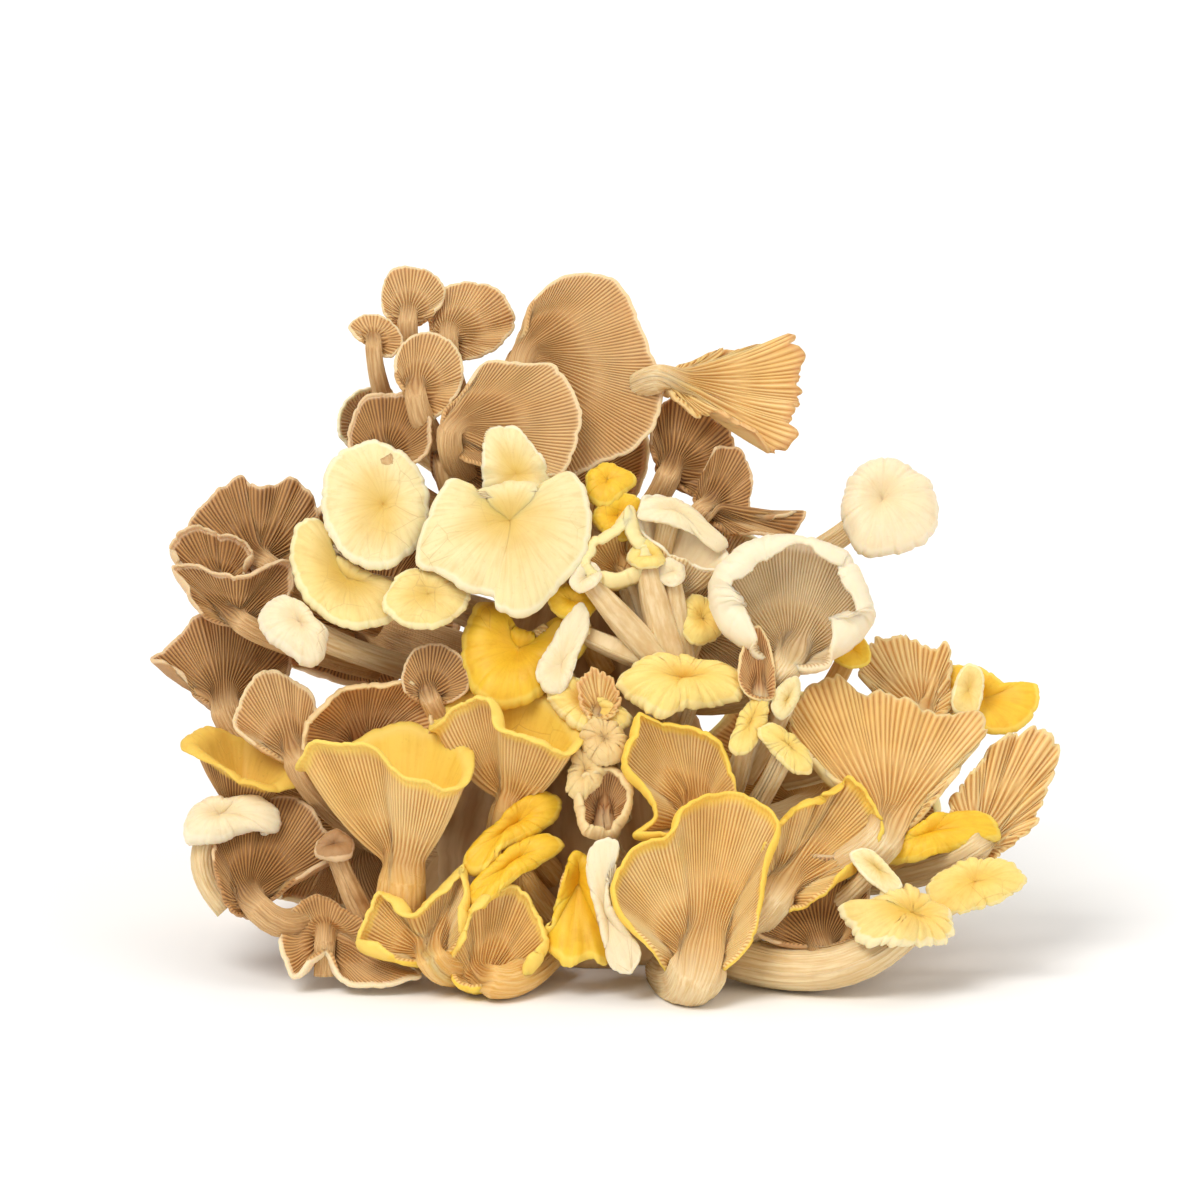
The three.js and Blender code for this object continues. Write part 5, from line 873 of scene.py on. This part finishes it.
# ---------- materials ----------
def linear(rgb):
    """An 8-bit display colour as a linear one with alpha."""
    shares = [c / 255 for c in rgb]
    return tuple(c / 12.92 if c <= 0.04045 else ((c + 0.055) / 1.055) ** 2.4 for c in shares) + (1.0,)


class Nodes:
    """Makes and links the nodes of one material."""

    def __init__(self, material):
        material.use_nodes = True
        self.tree = material.node_tree
        self.tree.nodes.clear()

    def node(self, kind, inputs=None, **settings):
        """A node with its settings, and its inputs linked or set by name or number."""
        made = self.tree.nodes.new(kind)
        for key, value in settings.items():
            setattr(made, key, value)
        for key, value in (inputs or {}).items():
            if isinstance(value, bpy.types.NodeSocket):
                self.tree.links.new(value, made.inputs[key])
            else:
                made.inputs[key].default_value = value
        return made

    def math(self, operation, a, b=0.0, c=0.0, clamp=False):
        """A Math node's result."""
        made = self.node("ShaderNodeMath", {0: a, 1: b, 2: c}, operation=operation, use_clamp=clamp)
        return made.outputs[0]

    def mix(self, share, a, b, how="MIX"):
        """A colour between a and b."""
        made = self.node("ShaderNodeMix", data_type="RGBA", blend_type=how)
        for socket, value in ((made.inputs[0], share), (made.inputs[6], a), (made.inputs[7], b)):
            if isinstance(value, bpy.types.NodeSocket):
                self.tree.links.new(value, socket)
            else:
                socket.default_value = value
        return made.outputs[2]

    def ease(self, value, low, high):
        """Eases from 0 at low to 1 at high."""
        made = self.node("ShaderNodeMapRange", {0: value, 1: low, 2: high}, interpolation_type="SMOOTHSTEP")
        return made.outputs[0]

    def noise(self, where, scale, detail=3.0, rough=0.55):
        """A noise value from 0 to 1."""
        inputs = {"Vector": where, "Scale": scale, "Detail": detail, "Roughness": rough}
        return self.node("ShaderNodeTexNoise", inputs).outputs["Fac"]


def gill_lines(n, across, share):
    """How near a ridge the surface is: long gills at the neck, short ones between them outwards."""
    half = n.math("MULTIPLY", across, 0.5)
    full = n.math("MULTIPLY", n.math("ABSOLUTE", n.math("SUBTRACT", n.math("FRACT", half), 0.5)), 2.0)
    short = n.math("MULTIPLY", n.math("ABSOLUTE", n.math("SUBTRACT", n.math("FRACT", across), 0.5)), 2.0)
    reach = n.ease(share, 0.45, 0.7)
    near = n.math("MULTIPLY", full, n.math("SUBTRACT", 1.0, reach))
    return n.math("ADD", near, n.math("MULTIPLY", short, reach))


def flesh(look):
    """The skin, gill and stem material of one kind of fruit body."""
    name = "flesh_" + look
    if name in bpy.data.materials:
        return bpy.data.materials[name]
    style = STYLES[look]
    material = bpy.data.materials.new(name)
    n = Nodes(material)
    where = n.node("ShaderNodeTexCoord").outputs["Object"]
    share = n.node("ShaderNodeAttribute", attribute_name="share").outputs["Fac"]
    side = n.node("ShaderNodeAttribute", attribute_name="side").outputs["Fac"]
    uv = n.node("ShaderNodeUVMap", uv_map="gills").outputs["UV"]
    across = n.node("ShaderNodeSeparateXYZ", {0: uv}).outputs[0]
    broad = n.noise(where, 28.0, 3.0)
    middling = n.noise(where, 110.0, 4.0)
    fine = n.noise(where, 900.0, 3.0, 0.6)
    ridge = gill_lines(n, across, share)
    gills = gill_colour(n, style, ridge, share, broad, middling)
    top = top_colour(n, style, uv, share, broad, middling, fine)
    cracks = crack_lines(n, where, style.get("cracks", 0.25))
    top = n.mix(cracks, top, linear(style["valley_shade_and_marks"]))
    stem = stem_colour(n, style, uv, middling)
    under = n.mix(n.ease(share, -0.02, 0.16), stem, gills)
    whole = n.mix(n.ease(side, 0.35, 0.75), under, top)
    edge = n.ease(share, style.get("rim_from", 0.97), style.get("rim_from", 0.97) + 0.06)
    whole = n.mix(n.math("MULTIPLY", edge, style.get("rim_share", 0.85)), whole, linear(style["rim"]))
    gill_side = n.math("MULTIPLY", n.ease(share, 0.0, 0.2), n.math("SUBTRACT", 1.0, n.ease(side, 0.2, 0.4)))
    height = n.math("MULTIPLY", ridge, gill_side)
    height = n.math("MULTIPLY_ADD", fine, 0.22, height)
    height = n.math("MULTIPLY_ADD", middling, 0.35, height)
    height = n.math("SUBTRACT", height, cracks)
    bump = n.node("ShaderNodeBump", {"Height": height, "Strength": 0.55, "Distance": 0.0005})
    rough = n.math("MULTIPLY_ADD", middling, 0.18, style.get("rough", 0.48))
    shader = n.node("ShaderNodeBsdfPrincipled", {
        "Base Color": whole, "Roughness": rough, "Normal": bump.outputs[0],
        "Specular IOR Level": 0.35, "Subsurface Weight": 0.35, "Subsurface Scale": 0.004,
    })
    shader.inputs["Subsurface Radius"].default_value = (1.0, 0.62, 0.32)
    out = n.node("ShaderNodeOutputMaterial", {"Surface": shader.outputs[0]})
    out.is_active_output = True
    return material


def gill_colour(n, style, ridge, share, broad, middling):
    """Pale gill edges over painted shade in the valleys between them; the painted shade is deepest near the
    neck, where the gills crowd into the stem.
    """
    # Painted shade: the valley colours darken the gaps between the gills.
    low = n.mix(n.ease(middling, 0.35, 0.7), linear(style["valley_shade_and_marks"]), linear(style["valley_shade2_and_mottle"]))
    high = n.mix(n.ease(broad, 0.35, 0.65), linear(style["ridge"]), linear(style["ridge2"]))
    colour = n.mix(n.math("POWER", ridge, 0.7), low, high)
    # Painted shade: towards the neck the gills are mixed further into the dark valley colour.
    warm = n.math("MULTIPLY", n.math("SUBTRACT", 1.0, n.ease(share, 0.1, 0.75)), style.get("warm", 0.3))
    return n.mix(warm, colour, linear(style["valley_shade_and_marks"]))


def top_colour(n, style, uv, share, broad, middling, fine):
    """The smooth skin, from its centre to its edge, with fibres, mottling and a darker eye."""
    spread = n.math("MULTIPLY_ADD", n.math("SUBTRACT", broad, 0.5), 0.9, share)
    colour = n.mix(n.ease(spread, 0.05, 0.95), linear(style["top"]), linear(style["top_edge"]))
    along = n.node("ShaderNodeMapping", {"Vector": uv, "Scale": (0.45, 1.6, 1.0)}).outputs[0]
    fibre = n.ease(n.noise(along, 1.5, 4.0), 0.42, 0.72)
    colour = n.mix(n.math("MULTIPLY", fibre, 0.22), colour, linear(style["spot"]))
    blotch = n.math("MULTIPLY", n.ease(middling, 0.48, 0.78), style.get("blotch", 0.25))
    colour = n.mix(blotch, colour, linear(style["spot"]))
    eye = n.math("SUBTRACT", 1.0, n.ease(spread, -0.1, 0.32))
    colour = n.mix(n.math("MULTIPLY", eye, style.get("eye", 0.35)), colour, linear(style["spot"]))
    fleck = n.math("MULTIPLY", n.ease(fine, 0.6, 0.75), 0.16)
    return n.mix(fleck, colour, linear(style["valley_shade_and_marks"]))


def crack_lines(n, where, amount):
    """Thin dry cracks in patches of the skin."""
    inputs = {"Vector": where, "Scale": 95.0, "Randomness": 1.0}
    cells = n.node("ShaderNodeTexVoronoi", inputs, feature="DISTANCE_TO_EDGE")
    thin = n.math("SUBTRACT", 1.0, n.ease(cells.outputs["Distance"], 0.004, 0.02))
    patch = n.ease(n.noise(where, 22.0, 2.0), 0.56, 0.66)
    return n.math("MULTIPLY", n.math("MULTIPLY", thin, patch), amount)


def stem_colour(n, style, uv, middling):
    """Stem flesh with streaks along it."""
    along = n.node("ShaderNodeMapping", {"Vector": uv, "Scale": (0.35, 2.2, 1.0)}).outputs[0]
    streak = n.noise(along, 1.6, 4.0)
    colour = n.mix(n.ease(streak, 0.3, 0.7), linear(style["stem"]), linear(style["stem2"]))
    return n.mix(n.math("MULTIPLY", n.ease(middling, 0.5, 0.8), 0.35), colour, linear(style["valley_shade2_and_mottle"]))


# ---------- the rest of the object ----------
def add_stem_base():
    """The fused base: a lumpy column of grown-together stems with a flat cut face."""
    low, high = (np.array(corner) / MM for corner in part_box("stem_base"))
    props = bpy.context.scene.mushroom_base
    rng = random.Random("stem_base")
    u = np.arange(BASE_COUNT) / BASE_COUNT
    a = 2 * np.pi * u
    stems = ripple(u, rng, (9, 14, 21), (0.045, 0.035, 0.02))
    rings = []
    for i in range(BASE_ROWS + 1):
        level = i / BASE_ROWS
        radius = BASE_RADIUS + (BASE_TOP_RADIUS - BASE_RADIUS) * level**BASE_TAPER
        lump = 1 + 0.08 * np.sin(3 * a + 5 * level) + 0.06 * np.sin(5 * a + 10 * level)
        lump = (lump + stems + ripple(u + level * 0.2, rng, (5,), (0.01,))) * props.plumpness
        x = BASE_CENTRE[0] + radius * lump * np.cos(a) * BASE_WIDENING + HEAP_SHIFT[0]
        y = BASE_CENTRE[1] + level * BASE_LEAN + radius * lump * np.sin(a) + HEAP_SHIFT[1]
        z = np.full(BASE_COUNT, max(level * BASE_HEIGHT, 0.1))
        ring = np.stack([x, y, z], 1)
        rings.append((np.clip(ring, low, high), 0.0, -1 + level * 0.9))
    last = rings[-1][0].mean(0)
    mesh = skin("stem_base", rings, rings[0][0].mean(0), last, BASE_STREAKS)
    add_piece("stem_base_skin", mesh, "stem_base", flesh("stem"))


def bodies_of(*looks):
    """The fruit bodies that have one of these looks."""
    return [facts for facts in FRUIT_BODIES if facts["look"] in looks]


def add_stage(floor_tone, key_power, fill_power, air):
    """The pale floor, the soft studio lights and the camera."""
    low, high = (Vector(corner) for corner in CAD_BOX)
    bm = bmesh.new()
    bmesh.ops.create_grid(bm, x_segments=1, y_segments=1, size=6.0)
    mesh = bpy.data.meshes.new("floor")
    bm.to_mesh(mesh)
    bm.free()
    floor = bpy.data.objects.new("floor", mesh)
    floor.location.z = low.z - 0.0002
    bpy.context.scene.collection.objects.link(floor)
    material = bpy.data.materials.new("pale_floor")
    n = Nodes(material)
    tone = (floor_tone, floor_tone, floor_tone, 1)
    shader = n.node("ShaderNodeBsdfPrincipled", {"Base Color": tone, "Roughness": 0.9})
    n.node("ShaderNodeOutputMaterial", {"Surface": shader.outputs[0]})
    mesh.materials.append(material)
    centre = (low + high) / 2
    add_light("key", Vector((-0.7, -1.0, 1.5)), key_power, 30.0)
    add_light("fill", Vector((1.3, -1.1, 0.7)), fill_power, 50.0)
    add_light("top", Vector((0.1, 0.5, 1.7)), fill_power, 50.0)
    add_air(air)
    add_camera(centre)


def add_light(name, way, strength, softness, colour=(1.0, 0.975, 0.93)):
    """One even soft light from far off, as wide as softness in degrees, shining from the given way."""
    light = bpy.data.lights.new(name, "SUN")
    light.energy = strength
    light.angle = math.radians(softness)
    light.color = colour
    lamp = bpy.data.objects.new(name, light)
    lamp.location = way
    lamp.rotation_euler = way.to_track_quat("Z", "Y").to_euler()
    bpy.context.scene.collection.objects.link(lamp)


def add_air(strength):
    """White light from all round."""
    world = bpy.data.worlds.new("studio")
    world.use_nodes = True
    background = world.node_tree.nodes["Background"]
    background.inputs["Color"].default_value = (1.0, 1.0, 1.0, 1.0)
    background.inputs["Strength"].default_value = strength
    bpy.context.scene.world = world


def add_camera(centre):
    """A long lens a little above the heap, looking along its leaning front."""
    camera = bpy.data.cameras.new("camera")
    camera.lens = CAMERA_LENS
    camera.clip_end = 20
    eye = bpy.data.objects.new("camera", camera)
    target = Vector(place((*VIEW_CENTRE, 0.0)) * MM)
    back = Vector(lean((0.0, 0.0, 1.0)))
    eye.location = target + back * CAMERA_DISTANCE
    eye.rotation_euler = (-back).to_track_quat("-Z", "Y").to_euler()
    bpy.context.scene.collection.objects.link(eye)
    bpy.context.scene.camera = eye
    bpy.context.scene.view_settings.view_transform = "Standard"


# ---------- the add-on ----------
class BaseSettings(bpy.types.PropertyGroup):
    """Sizes of the fused stem base."""

    plumpness: bpy.props.FloatProperty(
        name="Plumpness", description="How full the fused stem base is", default=0.97, min=0.5, max=1.0)


class StageSettings(bpy.types.PropertyGroup):
    """Brightness of the floor and the lights."""

    floor_tone: bpy.props.FloatProperty(
        name="Floor tone", description="How pale the floor is",
        default=0.97, min=0.0, max=1.0, subtype="FACTOR")
    key_power: bpy.props.FloatProperty(
        name="Key light", description="Strength of the main light", default=1.7, min=0.0)
    fill_power: bpy.props.FloatProperty(
        name="Fill lights", description="Strength of each fill light", default=0.5, min=0.0)
    air: bpy.props.FloatProperty(
        name="Air", description="Strength of the white light from all round", default=0.56, min=0.0)


class FruitBodyOperator:
    """Makes the fruit bodies of some looks."""

    looks = ()

    def execute(self, context):
        for facts in bodies_of(*self.looks):
            add_fruit_body(facts, facts["name"])
        return {"FINISHED"}


class MUSHROOM_OT_tan_fans(FruitBodyOperator, bpy.types.Operator):
    """Add the tan and brown fans of the top, the left and the back"""

    bl_idname = "mushroom.tan_fans"
    bl_label = "Tan and brown fans"
    looks = ("tan", "brown", "straw")


class MUSHROOM_OT_pale_caps(FruitBodyOperator, bpy.types.Operator):
    """Add the pale yellow caps that show their smooth side"""

    bl_idname = "mushroom.pale_caps"
    bl_label = "Pale yellow caps"
    looks = ("primrose", "yellowish")


class MUSHROOM_OT_white_caps(FruitBodyOperator, bpy.types.Operator):
    """Add the white curled caps and pale trumpets"""

    bl_idname = "mushroom.white_caps"
    bl_label = "White curled caps"
    looks = ("ivory", "ivorybrown", "loop", "curl")


class MUSHROOM_OT_golden_caps(FruitBodyOperator, bpy.types.Operator):
    """Add the bright golden caps"""

    bl_idname = "mushroom.golden_caps"
    bl_label = "Golden caps"
    looks = ("golden", "goldivory")


class MUSHROOM_OT_honey_fans(FruitBodyOperator, bpy.types.Operator):
    """Add the honey-coloured fans and trumpets with golden rims"""

    bl_idname = "mushroom.honey_fans"
    bl_label = "Honey fans and trumpets"
    looks = ("honey", "honeyrim", "goldhoney", "honeybrown", "goldrim", "honeygold")


class MUSHROOM_OT_small_bodies(bpy.types.Operator):
    """Add the small fruit bodies in the gaps"""

    bl_idname = "mushroom.small_bodies"
    bl_label = "Small bodies in the gaps"

    def execute(self, context):
        for facts in SMALL_BODIES:
            add_fruit_body(facts, None)
        return {"FINISHED"}


class MUSHROOM_OT_stem_base(bpy.types.Operator):
    """Add the fused stem base"""

    bl_idname = "mushroom.stem_base"
    bl_label = "Fused stem base"

    def execute(self, context):
        add_stem_base()
        return {"FINISHED"}


class MUSHROOM_OT_stage(bpy.types.Operator):
    """Add the floor, the lights and the camera"""

    bl_idname = "mushroom.stage"
    bl_label = "Stage"

    def execute(self, context):
        s = context.scene.mushroom_stage
        add_stage(s.floor_tone, s.key_power, s.fill_power, s.air)
        return {"FINISHED"}


OPERATORS = (
    MUSHROOM_OT_tan_fans, MUSHROOM_OT_pale_caps, MUSHROOM_OT_white_caps, MUSHROOM_OT_golden_caps,
    MUSHROOM_OT_honey_fans, MUSHROOM_OT_small_bodies, MUSHROOM_OT_stem_base, MUSHROOM_OT_stage,
)


class MUSHROOM_PT_cluster(bpy.types.Panel):
    """Lists the pieces of the cluster"""

    bl_label = "Mushroom cluster"
    bl_idname = "MUSHROOM_PT_cluster"
    bl_space_type = "VIEW_3D"
    bl_region_type = "UI"
    bl_category = "Mushrooms"

    def draw(self, context):
        column = self.layout.column()
        column.prop(context.scene.mushroom_base, "plumpness")
        for name in ("floor_tone", "key_power", "fill_power", "air"):
            column.prop(context.scene.mushroom_stage, name)
        for operator in OPERATORS:
            column.operator(operator.bl_idname)


CLASSES = (BaseSettings, StageSettings) + OPERATORS + (MUSHROOM_PT_cluster,)


def register():
    """Registers the classes and their settings."""
    for cls in CLASSES:
        bpy.utils.register_class(cls)
    bpy.types.Scene.mushroom_base = bpy.props.PointerProperty(type=BaseSettings)
    bpy.types.Scene.mushroom_stage = bpy.props.PointerProperty(type=StageSettings)


def unregister():
    """Removes the settings and the classes."""
    del bpy.types.Scene.mushroom_stage
    del bpy.types.Scene.mushroom_base
    for cls in reversed(CLASSES):
        bpy.utils.unregister_class(cls)


def main():
    """Makes the whole object."""
    register()
    for operator in OPERATORS:
        group, name = operator.bl_idname.split(".")
        getattr(getattr(bpy.ops, group), name)()
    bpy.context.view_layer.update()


if __name__ == "__main__":
    main()
